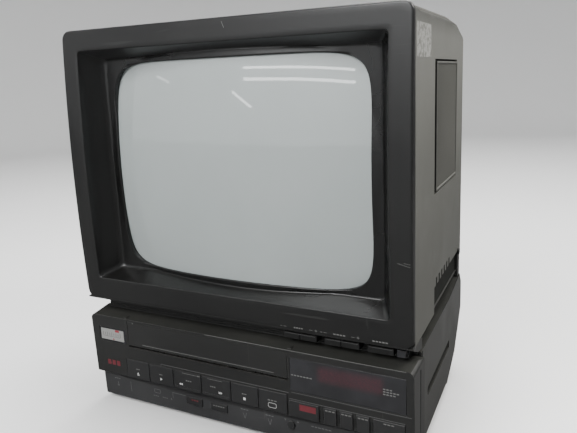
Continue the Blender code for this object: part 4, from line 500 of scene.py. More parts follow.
def make_grain_group():
    """Moulded grain: a height for Bump and a slow change of shade."""
    group, given, put = new_group("moulded_grain", ("Height", "Shade"),
                                  {"Grain Scale": 2600.0, "Cloud Scale": 9.0})
    cloud = mottle(group, given["Cloud Scale"], 5.0)
    group.links.new(mottle(group, given["Grain Scale"], 2.0), put["Height"])
    group.links.new(spread(group, cloud, 0.3, 0.7), put["Shade"])
    return group


def make_wear_group():
    """Where hands and cloths have rubbed: edges, found as a turn of a rounded normal, broken by noise."""
    group, given, put = new_group("rubbed_edges", ("Mask",),
                                  {"Amount": 0.5, "Break Scale": 60.0, "Width": 0.0008})
    shape = group.nodes.new("ShaderNodeNewGeometry")
    rounded = group.nodes.new("ShaderNodeBevel")
    rounded.samples = 4
    group.links.new(given["Width"], rounded.inputs["Radius"])
    turn = group.nodes.new("ShaderNodeVectorMath")
    turn.operation = "DOT_PRODUCT"
    group.links.new(rounded.outputs["Normal"], turn.inputs[0])
    group.links.new(shape.outputs["Normal"], turn.inputs[1])
    edge = spread(group, turn.outputs["Value"], 0.90, 0.995, 1.0, 0.0)
    broken = spread(group, mottle(group, given["Break Scale"], 4.0), 0.38, 0.62, 0.25, 1.0)
    group.links.new(product(group, edge, broken, given["Amount"]), put["Mask"])
    return group


def make_dust_group():
    """Dust that has settled on what faces up, in clouds."""
    group, given, put = new_group("settled_dust", ("Mask",), {"Amount": 0.3, "Cloud Scale": 14.0})
    shape = group.nodes.new("ShaderNodeNewGeometry")
    up = spread(group, parts_of(group, shape.outputs["Normal"])["Z"], 0.35, 0.95)
    cloud = spread(group, mottle(group, given["Cloud Scale"], 6.0), 0.25, 0.75, 0.4, 1.0)
    group.links.new(product(group, up, cloud, given["Amount"]), put["Mask"])
    return group


def make_scratch_group():
    """Fine scratches in two directions, thinned by clouds."""
    group, given, put = new_group("fine_scratches", ("Mask",), {"Amount": 0.5, "Cloud Scale": 6.0})
    across = spread(group, mottle(group, 190.0, 2.0, (0.06, 1.0, 1.0)), 0.685, 0.72)
    upright = spread(group, mottle(group, 210.0, 2.0, (1.0, 1.0, 0.05)), 0.695, 0.73)
    both = sum_up(group, "MAXIMUM", across, upright)
    cloud = spread(group, mottle(group, given["Cloud Scale"], 2.0), 0.45, 0.7)
    group.links.new(product(group, both, cloud, given["Amount"]), put["Mask"])
    return group


GRAIN = make_grain_group()
WEAR = make_wear_group()
DUST = make_dust_group()
SCRATCHES = make_scratch_group()


def use(tree, group, **values):
    """Places a shared effect in a material with its own values."""
    node = tree.nodes.new("ShaderNodeGroup")
    node.node_tree = group
    for key, value in values.items():
        node.inputs[key.replace("_", " ")].default_value = value
    return node.outputs


def new_finish(name, roughness, metallic=0.0):
    """An empty material with its shader's plain values set."""
    paint = bpy.data.materials.new(name)
    paint.use_nodes = True
    shader = paint.node_tree.nodes["Principled BSDF"]
    shader.inputs["Roughness"].default_value = roughness
    shader.inputs["Metallic"].default_value = metallic
    return paint, paint.node_tree, shader


def add_bump(tree, shader, height, strength, distance):
    bump = tree.nodes.new("ShaderNodeBump")
    bump.inputs["Strength"].default_value = strength
    bump.inputs["Distance"].default_value = distance
    tree.links.new(height, bump.inputs["Height"])
    tree.links.new(bump.outputs["Normal"], shader.inputs["Normal"])


# Painted shade on the cabinet: its colour is darkened low down, fading out towards the top, and darkened
# again along the roof's edge
PAINTED_SHADE_LOW = 0.14
PAINTED_SHADE_TOP = 0.40
SHOULDER_LOW = 0.382
SHOULDER_TOP = 0.402
SHOULDER_PAINTED_SHADE = 0.75
PAINTED_SHADE_TONE = 0.45
DUST_COLOUR = (0.30, 0.29, 0.26)

# How far roughness swings with the clouds, and what dust adds to it and wear takes off it
GLOSS_SWING = 0.12
METAL_SWING = 0.3
DUST_DULLS = 0.5
WEAR_SHINES = 0.1
GRAIN_STRENGTH = 0.5


def moulded(name, dark, light, rubbed, roughness, grain, depth, dust=0.2, wear=0.5, scratch=0.4,
            specular=0.35, painted_shade=0.0):
    """Moulded plastic: two close shades in clouds, grain, rubbed edges, dust and fine scratches; where
    painted_shade is given, painted shade darkens it by height.
    """
    paint, tree, shader = new_finish(name, roughness)
    surface = use(tree, GRAIN, Grain_Scale=grain)
    edges = use(tree, WEAR, Amount=wear)["Mask"]
    settled = use(tree, DUST, Amount=dust)["Mask"]
    marks = use(tree, SCRATCHES, Amount=scratch)["Mask"]
    colour = blend_colour(tree, surface["Shade"], dark, light)
    # Painted shade: the colour is darkened by height, low on the cabinet and along the roof's edge
    if painted_shade:
        height = parts_of(tree, object_place(tree))["Z"]
        low_painted_shade = spread(tree, height, PAINTED_SHADE_LOW, PAINTED_SHADE_TOP, painted_shade, 0.0)
        shoulder_painted_shade = spread(tree, height, SHOULDER_LOW, SHOULDER_TOP, 0.0, SHOULDER_PAINTED_SHADE)
        painted_shade_mask = sum_up(tree, "MAXIMUM", low_painted_shade, shoulder_painted_shade)
        colour = blend_colour(tree, painted_shade_mask, colour, shade(dark, PAINTED_SHADE_TONE))
    for mask, tone in ((edges, rubbed), (marks, rubbed), (settled, DUST_COLOUR)):
        colour = blend_colour(tree, mask, colour, tone)
    tree.links.new(colour, shader.inputs["Base Color"])
    gloss = spread(tree, surface["Shade"], 0.0, 1.0, roughness * (1.0 - GLOSS_SWING),
                   roughness * (1.0 + GLOSS_SWING))
    gloss = sum_up(tree, "ADD", gloss, product(tree, settled, DUST_DULLS))
    gloss = sum_up(tree, "SUBTRACT", gloss, product(tree, edges, WEAR_SHINES))
    tree.links.new(gloss, shader.inputs["Roughness"])
    shader.inputs["Specular IOR Level"].default_value = specular
    add_bump(tree, shader, surface["Height"], GRAIN_STRENGTH, depth)
    return paint


def metal(name, dark, light, roughness, scale, stretch=EVEN):
    """Metal with a drawn or spangled surface."""
    paint, tree, shader = new_finish(name, roughness, 1.0)
    streak = spread(tree, mottle(tree, scale, 4.0, stretch), 0.3, 0.7)
    tree.links.new(blend_colour(tree, streak, dark, light), shader.inputs["Base Color"])
    gloss = spread(tree, streak, 0.0, 1.0, roughness * (1.0 - METAL_SWING), roughness * (1.0 + METAL_SWING))
    tree.links.new(gloss, shader.inputs["Roughness"])
    add_bump(tree, shader, streak, 0.15, 0.00005)
    return paint


def printed(name, colour, roughness=0.55):
    """Silk-screened ink, a little uneven."""
    paint, tree, shader = new_finish(name, roughness)
    worn = spread(tree, mottle(tree, 900.0), 0.25, 0.6, 0.78, 1.0)
    tree.links.new(blend_colour(tree, worn, shade(colour, 0.6), colour), shader.inputs["Base Color"])
    return paint


def worn_label():
    """Paper that has worn through in patches to the moulding under it."""
    paint, tree, shader = new_finish("worn_label", 0.7)
    patches = spread(tree, mottle(tree, 230.0, 6.0), 0.38, 0.50)
    fleck = spread(tree, mottle(tree, 700.0), 0.35, 0.65)
    paper = blend_colour(tree, fleck, (0.25, 0.25, 0.235), (0.34, 0.34, 0.32))
    tree.links.new(blend_colour(tree, patches, (0.150, 0.149, 0.136), paper), shader.inputs["Base Color"])
    add_bump(tree, shader, patches, 0.3, 0.00006)
    return paint


def glass_front():
    """The tube's face: pale grey phosphor under clear glass, with faint wipe marks."""
    paint, tree, shader = new_finish("tube_face_glass", 0.42)
    haze = spread(tree, mottle(tree, 5.0), 0.3, 0.7)
    pale = blend_colour(tree, haze, (0.375, 0.412, 0.408), (0.420, 0.457, 0.452))
    tree.links.new(pale, shader.inputs["Base Color"])
    shader.inputs["Coat Weight"].default_value = 1.0
    shader.inputs["Coat IOR"].default_value = 1.52
    shader.inputs["Coat Roughness"].default_value = 0.02
    wiped = spread(tree, mottle(tree, 16.0, 4.0, (1.0, 1.0, 0.4)), 0.42, 0.62, 0.015, 0.04)
    tree.links.new(sum_up(tree, "ADD", wiped, 0.38), shader.inputs["Roughness"])
    return paint


# Red filter behind the display's pane: its ends on two axes, and how softly they fade
FILTER_ENDS = {"X": (0.0955, 0.1586), "Z": (0.0772, 0.0913)}
FILTER_FADE = 0.004
FILTER_RED = (0.060, 0.024, 0.030)


def smoked(name, filtered=False):
    """Gloss smoked plastic; the display's pane has a dull red filter behind its middle."""
    paint, tree, shader = new_finish(name, 0.12)
    haze = spread(tree, mottle(tree, 40.0), 0.3, 0.7)
    base = blend_colour(tree, haze, (0.020, 0.020, 0.022), (0.028, 0.028, 0.031))
    if filtered:
        place = parts_of(tree, object_place(tree))
        inside = spread(tree, mottle(tree, 700.0, 2.0), 0.35, 0.75, 0.55, 1.0)
        for axis, (low, high) in FILTER_ENDS.items():
            rise = spread(tree, place[axis], low - FILTER_FADE, low + FILTER_FADE)
            fall = spread(tree, place[axis], high - FILTER_FADE, high + FILTER_FADE, 1.0, 0.0)
            inside = product(tree, inside, rise, fall)
        base = blend_colour(tree, inside, base, FILTER_RED)
    tree.links.new(base, shader.inputs["Base Color"])
    scuff = use(tree, SCRATCHES, Amount=0.6)["Mask"]
    tree.links.new(spread(tree, scuff, 0.0, 1.0, 0.10, 0.35), shader.inputs["Roughness"])
    return paint


# Moulded finishes: name, dark, light and rubbed tone, roughness, grain's scale and depth, dust, wear,
# scratches, specular level and painted shade
MOULDINGS = {
    "bezel": ("charcoal_moulding", (0.0085, 0.0085, 0.0086), (0.0112, 0.0112, 0.0110), (0.060, 0.060, 0.058),
              0.34, 2400.0, 0.00004, 0.06, 0.30, 0.35, 0.42),
    "recess": ("recess_moulding", (0.0040, 0.0040, 0.0040), (0.0055, 0.0055, 0.0054), (0.040, 0.040, 0.038),
               0.29, 2400.0, 0.00002, 0.02, 0.30, 0.2, 0.5),
    # The cabinet's last value is its painted shade, darker low down and along the roof's edge
    "cabinet": ("cabinet_grey_moulding", (0.142, 0.142, 0.127), (0.164, 0.163, 0.148), (0.22, 0.22, 0.20),
                0.50, 1500.0, 0.00008, 0.10, 0.35, 0.3, 0.4, 0.85),
    # The roof's finish is a darker copy of the cabinet's moulding: painted shade on the faces that look up
    "roof": ("roof_moulding", (0.070, 0.070, 0.063), (0.082, 0.081, 0.074), (0.16, 0.16, 0.145),
             0.75, 1500.0, 0.00008, 0.12, 0.3, 0.3, 0.12),
    "matt": ("matt_dark_moulding", (0.016, 0.0165, 0.0150), (0.022, 0.0225, 0.0205), (0.030, 0.030, 0.028),
             0.85, 1200.0, 0.00004, 0.05, 0.2, 0.1, 0.08),
    "grille": ("grille_moulding", (0.085, 0.085, 0.076), (0.100, 0.099, 0.090), (0.20, 0.20, 0.18),
               0.48, 1500.0, 0.00005, 0.1, 0.5, 0.2, 0.4),
    "recorder": ("recorder_black_moulding", (0.0150, 0.0150, 0.0148), (0.0185, 0.0185, 0.0180),
                 (0.075, 0.075, 0.070), 0.36, 2400.0, 0.00003, 0.08, 0.45, 0.3, 0.40),
    # A lighter copy of the recorder's moulding: painted reflection, on the fascia's set-back strip and the
    # recess's top wall
    "strip": ("recorder_strip_moulding", (0.030, 0.030, 0.031), (0.042, 0.042, 0.043), (0.090, 0.090, 0.088),
              0.45, 1200.0, 0.00006, 0.15, 0.45, 0.5, 0.40),
    "plinth": ("plinth_moulding", (0.0055, 0.0055, 0.0054), (0.0075, 0.0075, 0.0073), (0.050, 0.050, 0.048),
               0.45, 1800.0, 0.00005, 0.1, 0.4, 0.2, 0.40),
    "case": ("recorder_case_moulding", (0.0200, 0.0200, 0.0190), (0.0270, 0.0266, 0.0250),
             (0.080, 0.080, 0.074), 0.42, 1800.0, 0.00006, 0.10, 0.35, 0.5, 0.42),
    "key": ("key_black_moulding", (0.0190, 0.0190, 0.0195), (0.0230, 0.0230, 0.0235), (0.060, 0.060, 0.060),
            0.33, 2600.0, 0.00002, 0.05, 0.5, 0.2, 0.40),
    "rubber": ("black_rubber", (0.010, 0.010, 0.010), (0.016, 0.016, 0.015), (0.05, 0.05, 0.045),
               0.75, 1800.0, 0.00006, 0.2, 0.3, 0.0),
    "potting": ("black_potting", (0.010, 0.010, 0.011), (0.018, 0.018, 0.018), (0.05, 0.05, 0.05),
                0.55, 900.0, 0.00006),
    "nylon": ("white_nylon", (0.62, 0.61, 0.56), (0.70, 0.69, 0.64), (0.75, 0.74, 0.70),
              0.42, 2000.0, 0.00003, 0.1, 0.2, 0.1, 0.5),
    "board": ("paper_board", (0.22, 0.14, 0.06), (0.30, 0.20, 0.09), (0.34, 0.25, 0.14),
              0.6, 700.0, 0.00004, 0.3, 0.2, 0.2),
    "funnel": ("graphite_coat", (0.030, 0.030, 0.032), (0.045, 0.045, 0.047), (0.06, 0.06, 0.06),
               0.62, 500.0, 0.00008),
}

# Metals: name, dark and light tone, roughness, streaks' scale and how they are stretched
METALS = {
    "steel": ("galvanised_steel", (0.36, 0.36, 0.37), (0.50, 0.50, 0.51), 0.38, 120.0),
    "zinc": ("zinc_plate", (0.50, 0.49, 0.45), (0.66, 0.65, 0.61), 0.30, 160.0),
    "bright": ("turned_aluminium", (0.70, 0.70, 0.71), (0.80, 0.80, 0.81), 0.14, 200.0, (1.0, 1.0, 14.0)),
    "copper": ("lacquered_copper", (0.38, 0.13, 0.05), (0.66, 0.28, 0.12), 0.35, 120.0, (1.0, 22.0, 1.0)),
}

# Printed inks: colour, and roughness where it isn't the usual one
INKS = {
    "white_ink": ((0.62, 0.62, 0.61),),
    "silver_ink": ((0.145, 0.145, 0.14), 0.4),
    "grey_ink": ((0.115, 0.115, 0.115),),
    "black_ink": ((0.002, 0.002, 0.002), 0.8),
    "red_ink": ((0.130, 0.018, 0.025),),
    "signal_red_ink": ((0.28, 0.030, 0.045),),
    "scale_white": ((0.29, 0.29, 0.28), 0.35),
}

FINISH = {key: moulded(*values) for key, values in MOULDINGS.items()}
FINISH.update({key: metal(*values) for key, values in METALS.items()})
FINISH.update({key: printed(key, *values) for key, values in INKS.items()})
FINISH.update({"glass": glass_front(), "smoked": smoked("smoked_window"),
               "display": smoked("smoked_display", True), "label": worn_label()})


# Television

BEZEL_HALF = 0.1875
BEZEL_LOW = 0.123
BEZEL_TOP = 0.408
BEZEL_MIDDLE_Z = (BEZEL_LOW + BEZEL_TOP) / 2
BEZEL_HALF_HEIGHT = (BEZEL_TOP - BEZEL_LOW) / 2
BEZEL_BULGE = 0.005
BEZEL_FLANGE = 0.0031
BEZEL_CORNER = 0.009
BEZEL_EDGE = 0.0022
BEZEL_EDGE_DEPTH = BEZEL_FLANGE - 0.0004
RECESS_EDGE = 0.0011
RECESS_CORNER = 0.004
SCREEN_Z = 0.2667
RECESS_Z = 0.2675
RECESS_HALF = 0.1666
RECESS_HALF_HEIGHT = 0.11925
RECESS_PAINT_EDGE = 0.0003
RIM_HALF = 0.15345
RIM_HALF_HEIGHT = 0.11125
RIM_DEPTH = 0.0224
GLASS_HALF = 0.1428
GLASS_HALF_HEIGHT = 0.10695
GLASS_POWER = 8.5
FACE_RADIUS = 0.600
FACE_DEPTH = 0.005
MASK_RADIUS = 0.6025
MASK_GAP = 0.0006
MASK_BACK = 0.0012
MASK_LAP = 0.0022
FLANGE_LAP = 0.002
GLASS_LAP = 0.004
LENS_GAP = 0.0003
RECESS_FOOT = 0.0008
TUBE_HALF = 0.163
TUBE_HALF_HEIGHT = 0.127
TUBE_RIM_BACK = 0.062
FUNNEL_PAINT_START = 0.045
NECK_START = 0.215
NECK_END = 0.3445
NECK_RADIUS = 0.0146
RING_STEPS = 48

# The funnel from the rim to the neck: how far back, width, height and how square
FUNNEL = ((0.0, 1.0, 1.0, 7.0), (0.09, 0.965, 0.965, 6.0), (0.31, 0.80, 0.79, 4.0),
          (0.575, 0.54, 0.535, 3.0), (0.84, 0.165, 0.195, 2.2), (0.93, 0.098, 0.126, 2.0))


def rays():
    """Directions round a square, closer together towards its corners."""
    found = []
    for side in range(4):
        turn = math.pi / 2 * side
        for step in range(RING_STEPS):
            along = math.sin(math.pi / 2 * (2.0 * step / RING_STEPS - 1.0))
            found.append((math.cos(turn) - along * math.sin(turn), math.sin(turn) + along * math.cos(turn)))
    return found


RAYS = rays()


def round_hit(across, up, half, half_height, corner):
    """Where a ray from the middle meets a rectangle with round corners."""
    length = min(half / max(abs(across), 1e-9), half_height / max(abs(up), 1e-9))
    middle_x = half - corner
    middle_z = half_height - corner
    if corner > 0.0 and abs(across) * length > middle_x and abs(up) * length > middle_z:
        square = across * across + up * up
        towards = abs(across) * middle_x + abs(up) * middle_z
        rest = middle_x * middle_x + middle_z * middle_z - corner * corner
        length = (towards + math.sqrt(max(towards * towards - square * rest, 0.0))) / square
    return across * length, up * length


def laid(x, z, depth):
    """A point at a depth behind the front, given as a number or as a function of x and z."""
    return x, FRONT + (depth(x, z) if callable(depth) else depth), z


def round_ring(half, half_height, corner, centre_z, depth):
    """A ring of points round a rectangle with round corners."""
    points = [round_hit(across * half, up * half_height, half, half_height, corner) for across, up in RAYS]
    return [laid(x, z + centre_z, depth) for x, z in points]


def bowed_ring(half, half_height, power, depth):
    """A ring of points round a rectangle with bowed sides, about the screen's middle."""
    ring = []
    for across, up in RAYS:
        size = (abs(across) ** power + abs(up) ** power) ** (1.0 / power)
        ring.append(laid(across / size * half, SCREEN_Z + up / size * half_height, depth))
    return ring


def front_bulge(x, z):
    share = min(max((z - BEZEL_LOW) / (BEZEL_TOP - BEZEL_LOW), 0.0), 1.0)
    return -4.0 * BEZEL_BULGE * share * (1.0 - share)


def sunk_bulge(sunk):
    return lambda x, z: front_bulge(x, z) + sunk


def edge_bulge(sunk):
    return lambda x, z: min(front_bulge(x, z) + sunk, BEZEL_EDGE_DEPTH)


def sphere_depth(radius):
    return lambda x, z: FACE_DEPTH + FACE_RADIUS - math.sqrt(radius ** 2 - x * x - (z - SCREEN_Z) ** 2)


def mask_depth(x, z):
    return min(sphere_depth(MASK_RADIUS)(x, z), RIM_DEPTH)


def recess_hit(across, up, depth, inset=0.0):
    """Where a ray meets the recess's sloping wall at a depth, from the recess's middle."""
    half = RECESS_HALF - (RECESS_HALF - RIM_HALF) / RIM_DEPTH * depth - inset
    height = RECESS_HALF_HEIGHT - (RECESS_HALF_HEIGHT - RIM_HALF_HEIGHT) / RIM_DEPTH * depth - inset
    return round_hit(across * half, up * height, half, height, RECESS_CORNER)


def recess_ring(depth_share, inset=0.0):
    """A ring down the recess's sloping wall, from the face (0) to where it meets the mask (1)."""
    ring = []
    for across, up in RAYS:
        end = RIM_DEPTH
        for _ in range(4):
            x, z = recess_hit(across, up, end)
            end = mask_depth(x, z + RECESS_Z)
        start = front_bulge(x, z + RECESS_Z)
        depth = start + (end - start) * depth_share
        x, z = recess_hit(across, up, max(depth, 0.0), inset)
        ring.append(laid(x, z + RECESS_Z, depth))
    return ring


def between(first, second, share, depth):
    """A ring part of the way from one ring to another, laid on a surface."""
    points = [Vector(a).lerp(Vector(b), share) for a, b in zip(first, second)]
    return [laid(point.x, point.z, depth) for point in points]


def make_bezel_front():
    """The bezel's face, the recess's sloping walls and the mask round the glass, as one skin."""
    rings = [round_ring(BEZEL_HALF, BEZEL_HALF_HEIGHT, BEZEL_CORNER, BEZEL_MIDDLE_Z, BEZEL_FLANGE)]
    for step in range(5):
        inset = BEZEL_EDGE * (1.0 - math.cos(math.pi / 2 * step / 4))
        sunk = BEZEL_EDGE * (1.0 - math.sin(math.pi / 2 * step / 4))
        rings.append(round_ring(BEZEL_HALF - inset, BEZEL_HALF_HEIGHT - inset, BEZEL_CORNER - inset,
                                BEZEL_MIDDLE_Z, edge_bulge(sunk)))
    outer = rings[-1]
    lip = round_ring(RECESS_HALF + RECESS_EDGE, RECESS_HALF_HEIGHT + RECESS_EDGE, RECESS_CORNER + RECESS_EDGE,
                     RECESS_Z, front_bulge)
    rings += [between(outer, lip, share, front_bulge) for share in (0.25, 0.5, 0.75)]
    rings.append(lip)
    for step in range(1, 4):
        out = RECESS_EDGE * (1.0 - math.sin(math.pi / 2 * step / 3))
        sunk = RECESS_EDGE * (1.0 - math.cos(math.pi / 2 * step / 3))
        rings.append(round_ring(RECESS_HALF + out, RECESS_HALF_HEIGHT + out, RECESS_CORNER + out, RECESS_Z,
                                sunk_bulge(sunk)))
    rings += [recess_ring(share) for share in (0.3, 0.55, 0.8, 0.97)]
    foot = recess_ring(1.0, RECESS_FOOT)
    opening = bowed_ring(GLASS_HALF + MASK_GAP, GLASS_HALF_HEIGHT + MASK_GAP, GLASS_POWER, mask_depth)
    rings.append(foot)
    rings += [between(foot, opening, share, mask_depth) for share in (0.2, 0.4, 0.6, 0.8)]
    rings.append(opening)
    lens = sphere_depth(FACE_RADIUS + LENS_GAP)
    for out, down in ((0.0002, 0.15), (0.0, 0.5), (0.0, 1.0)):
        rings.append(bowed_ring(GLASS_HALF + out, GLASS_HALF_HEIGHT + out, GLASS_POWER,
                                lambda x, z, down=down: mask_depth(x, z) * (1.0 - down) + lens(x, z) * down))
    rings.append(bowed_ring(GLASS_HALF + GLASS_LAP, GLASS_HALF_HEIGHT + GLASS_LAP, GLASS_POWER, lens))
    rings.append([(x, y + MASK_BACK, z) for x, y, z in recess_ring(1.0, -MASK_LAP)])
    rings.append(round_ring(RECESS_HALF + FLANGE_LAP, RECESS_HALF_HEIGHT + FLANGE_LAP, RECESS_CORNER,
                            RECESS_Z, BEZEL_FLANGE))
    bezel = smooth(skin("bezel_front", rings, True), 50.0)
    finish_piece(bezel, "cabinet", "charcoal_plastic", "bezel")

    def in_recess(face):
        return (abs(face.center.x) < RECESS_HALF + RECESS_PAINT_EDGE
                and abs(face.center.z - RECESS_Z) < RECESS_HALF_HEIGHT + RECESS_PAINT_EDGE)

    refinish(bezel, FINISH["recess"], in_recess)
    # Painted reflection: the recess's top wall gets the lighter recorder finish
    refinish(bezel, FINISH["strip"],
             lambda face: in_recess(face) and face.normal.z < -0.7 and face.center.z > SCREEN_Z + 0.1)


# The bezel's chin: what is cut off it (face and room behind it, as ranges), and its low front edge
FACE_CUT = ((-0.2, 0.2), (FRONT - 0.02, FRONT + BEZEL_FLANGE), (BEZEL_LOW + 0.0012, 0.42))
ROOM_CUT = ((-0.177, 0.177), (FRONT - 0.02, FRONT + 0.06), (0.1275, 0.3995))
CHIN_LOW = 0.1145
CHIN_FRONT = FRONT + 0.019
CHIN_ROUND = 0.0006


def make_bezel_rest():
    """The bezel's chin with its key slots, and the skirt behind the face, from the frame's bezel."""
    rest = copy_of("front_bezel", "bezel_chin")
    carve(rest, mirrored_box("face_cut", *FACE_CUT), mirrored_box("room_cut", *ROOM_CUT))
    bevel_edges(rest, lambda edge: on_line(edge, CHIN_FRONT, CHIN_LOW), CHIN_ROUND, 2)
    finish_piece(smooth(rest), "cabinet", "charcoal_plastic", "bezel", "front_bezel")


def make_picture_tube():
    """The whole tube in finer rings: face, side, funnel and neck."""
    glass = sphere_depth(FACE_RADIUS)
    rings = [bowed_ring(TUBE_HALF * share, TUBE_HALF_HEIGHT * share, GLASS_POWER, glass)
             for share in (0.02, 0.12, 0.25, 0.4, 0.55, 0.7, 0.82, 0.92, 0.97, 0.99)]
    rings.append(bowed_ring(TUBE_HALF, TUBE_HALF_HEIGHT, GLASS_POWER, lambda x, z: glass(x, z) + 0.002))
    for along, wide, tall, power in FUNNEL:
        depth = TUBE_RIM_BACK + along * (NECK_START - TUBE_RIM_BACK)
        rings.append(bowed_ring(TUBE_HALF * wide, TUBE_HALF_HEIGHT * tall, power, depth))
    rings += [bowed_ring(NECK_RADIUS, NECK_RADIUS, 2.0, depth) for depth in (NECK_START, NECK_END)]
    tube = smooth(skin("picture_tube_glass", rings), 40.0)
    finish_piece(tube, "cabinet", "tube_glass", "glass", "picture_tube")
    refinish(tube, FINISH["funnel"], lambda face: face.center.y > FRONT + FUNNEL_PAINT_START)


ROOF_LOW = 0.385
ROOF_ROUND = 0.006
ROOF_STEPS = 16
SIDE_NEAR = 0.0006


def make_cover():
    """The cabinet's shell with its long edges rounded."""
    cover = copy_of("tv_rear_cover", "tv_rear_shell", False)

    def at_side(point):
        return abs(abs(point.co.x) - (CASE_HALF - math.tan(SIDE_TAPER) * (point.co.y - FRONT))) < SIDE_NEAR

    def roof_edge(edge):
        if not all(at_side(point) and point.co.z >= ROOF_LOW for point in edge.verts):
            return False
        return reach(edge, 1) > 0.02 and edge.is_manifold and edge.calc_face_angle() > 0.5

    choose(cover, "FACE", lambda face: face.normal.z > 0.9999 and face.calc_center_median().z > 0.4)
    bpy.ops.mesh.dissolve_limited(angle_limit=FLAT)
    close_edit()
    bevel_edges(cover, roof_edge, ROOF_ROUND, ROOF_STEPS)
    smooth(cut_vents(cover), 1.0)
    finish_piece(cover, "cabinet", "cover_plastic", "cabinet", "tv_rear_cover")
    # Painted shade: the faces that look up get the darker roof finish
    refinish(cover, FINISH["roof"], lambda face: face.normal.z > 0.35 and face.center.z > 0.3)


def dress(node, body, slot, finish, width, whole_faces=True):
    """A frame piece in finer form: merged, its edges rounded and given its finish."""
    piece = round_edges(copy_of(node, node + "_fine", whole_faces), width, 2)
    return finish_piece(piece, body, slot, finish, node)


SHADED_CASE_TOP_Z = 0.1
PLINTH_SHARE = 0.976
PLINTH_NOTCH = ((0.1765, 0.1965), (-0.17, -0.1505), (0.1, 0.13))
MOVING = "its own"

# Frame pieces that keep their form: body, slot, finish, width of the rounded edges and names.
# A moving piece is a body of its own name
DRESSED = (
    ("cabinet", "steel", "matt", 0.0003, ("base_pan",)),
    ("cabinet", "smoked_window", "display", 0.0003, ("display_window",)),
    ("cabinet", "smoked_window", "smoked", 0.0003, ("scale_window",)),
    ("cabinet", "smoked_window", "smoked", 0.0004, ("standby_lens",)),
    (MOVING, "recorder_plastic", "recorder", 0.0004, ("cassette_door",)),
    (MOVING, "key_plastic", "key", 0.0004,
     ("eject_button", "play_button", "rewind_button", "forward_button", "stop_button", "monitor_button",
      "memory_button", "record_button", "pause_button", "timer_key_1", "timer_key_2", "timer_key_3",
      "timer_key_4", "tracking_knob")),
    (MOVING, "key_plastic", "plinth", 0.0005, ("volume_rocker", "channel_rocker", "operate_button")),
)


def dress_all():
    case = dress("vcr_case", "cabinet", "recorder_plastic", "case", 0.0006, False)
    # Painted shade: the case's top under the television, and its upward faces, get the dark matt finish
    refinish(case, FINISH["matt"], lambda face: face.center.z > SHADED_CASE_TOP_Z or face.normal.z > 0.5)
    plinth = dress("neck_plinth", "cabinet", "recorder_plastic", "plinth", 0.00025)
    plinth.scale.x = PLINTH_SHARE
    settle(plinth)
    for side in (-1, 1):
        carve(plinth, mirrored_box("end", *PLINTH_NOTCH, side))
    for body, slot, finish, width, names in DRESSED:
        for name in names:
            dress(name, name if body == MOVING else body, slot, finish, width)
    for number in range(1, 5):
        dress(f"foot_{number}", "cabinet", "rubber", "rubber", 0.0004)
        dress(f"rear_screw_{number}", "cabinet", "zinc", "zinc", 0.0003)
    dress("aerial_socket", "cabinet", "zinc", "zinc", 0.0003)
    dress("mains_cord_gland", "cabinet", "rubber", "rubber", 0.0004)


HIDDEN_FINISHES = {
    "steel": "steel", "zinc": "zinc", "polished_metal": "bright", "copper_winding": "copper",
    "circuit_board": "board", "potting": "potting", "rubber": "rubber", "nylon": "nylon",
}


def finish_inside():
    """The pieces inside keep their frame shape and get their real finish."""
    slots = {part["node"]: part["material_slot"] for part in frame["record"]["subparts"]}
    for name, obj in frame["nodes"].items():
        if obj.hide_render:
            continue
        obj.data.materials.clear()
        obj.data.materials.append(FINISH[HIDDEN_FINISHES[slots[name]]])


# Recorder front

FASCIA_EDGE_Z = 0.1032
FASCIA_LEAN = 0.0286
STEP_TOP_Z = 0.0345
STEP_LOW_Z = 0.0315
STEP_DEPTH = 0.0045
STRIP_LEAN = 0.001 / 0.0265

# World y of the faces that are printed on; the door, the timer keys and the panes share the flush one
FLUSH_FACE = -0.1795
KEY_FACE = -0.17895
LOWER_KEY_FACE = -0.1741
ROCKER_FACE = -0.171

# Printed marks: how far they stand off a face, how far they sink into it, and a dash's share of its pitch
INK = 0.00008
SINK = 0.00025
DASH_SHARE = 0.72


def fascia_face(z):
    """World y of the fascia's front at a height: a lean above the step, set back below it."""
    if z > STEP_LOW_Z:
        return FRONT + (FASCIA_EDGE_Z - z) * FASCIA_LEAN
    return FRONT + (FASCIA_EDGE_Z - STEP_TOP_Z) * FASCIA_LEAN + STEP_DEPTH + (STEP_LOW_Z - z) * STRIP_LEAN


def bezel_low_face(z):
    return FRONT + front_bulge(0.0, z)


def bar(x, z, wide, tall):
    """A thin upright plate about a point, its face at y = 0."""
    return box("bar", (x - wide / 2, -INK, z - tall / 2), (x + wide / 2, SINK, z + tall / 2))


def wedge(x, z, size, heading_deg):
    """A flat triangle whose tip points along a heading: 0 is right, 90 is up."""
    bpy.ops.object.select_all(action="DESELECT")
    bpy.ops.mesh.primitive_cylinder_add(vertices=3, radius=size / 2, depth=INK + SINK)
    obj = bpy.context.object
    obj.rotation_euler = (math.pi / 2, 0.0, 0.0)
    settle(obj)
    obj.rotation_euler = (0.0, math.pi / 2 - math.radians(heading_deg), 0.0)
    obj.location = (x, (SINK - INK) / 2, z)
    return settle(obj)


def outline(x, z, wide, tall, line, corner):
    """A rounded rectangle drawn as a thin closed line."""
    plate = bar(x, z, wide, tall)
    hole = box("hole", (x - wide / 2 + line, -2 * INK, z - tall / 2 + line),
               (x + wide / 2 - line, 2 * SINK, z + tall / 2 - line))
    for obj, radius in ((plate, corner), (hole, max(corner - line, line / 2))):
        bevel_edges(obj, lambda edge: reach(edge, 1) > SINK / 2, radius, 4)
    return carve(plate, hole)


def dashes(x, z, wide, tall, count):
    """A row of short dashes in the place of a word."""
    pitch = wide / count
    return [bar(x - wide / 2 + pitch * (i + 0.5), z, pitch * DASH_SHARE, tall) for i in range(count)]


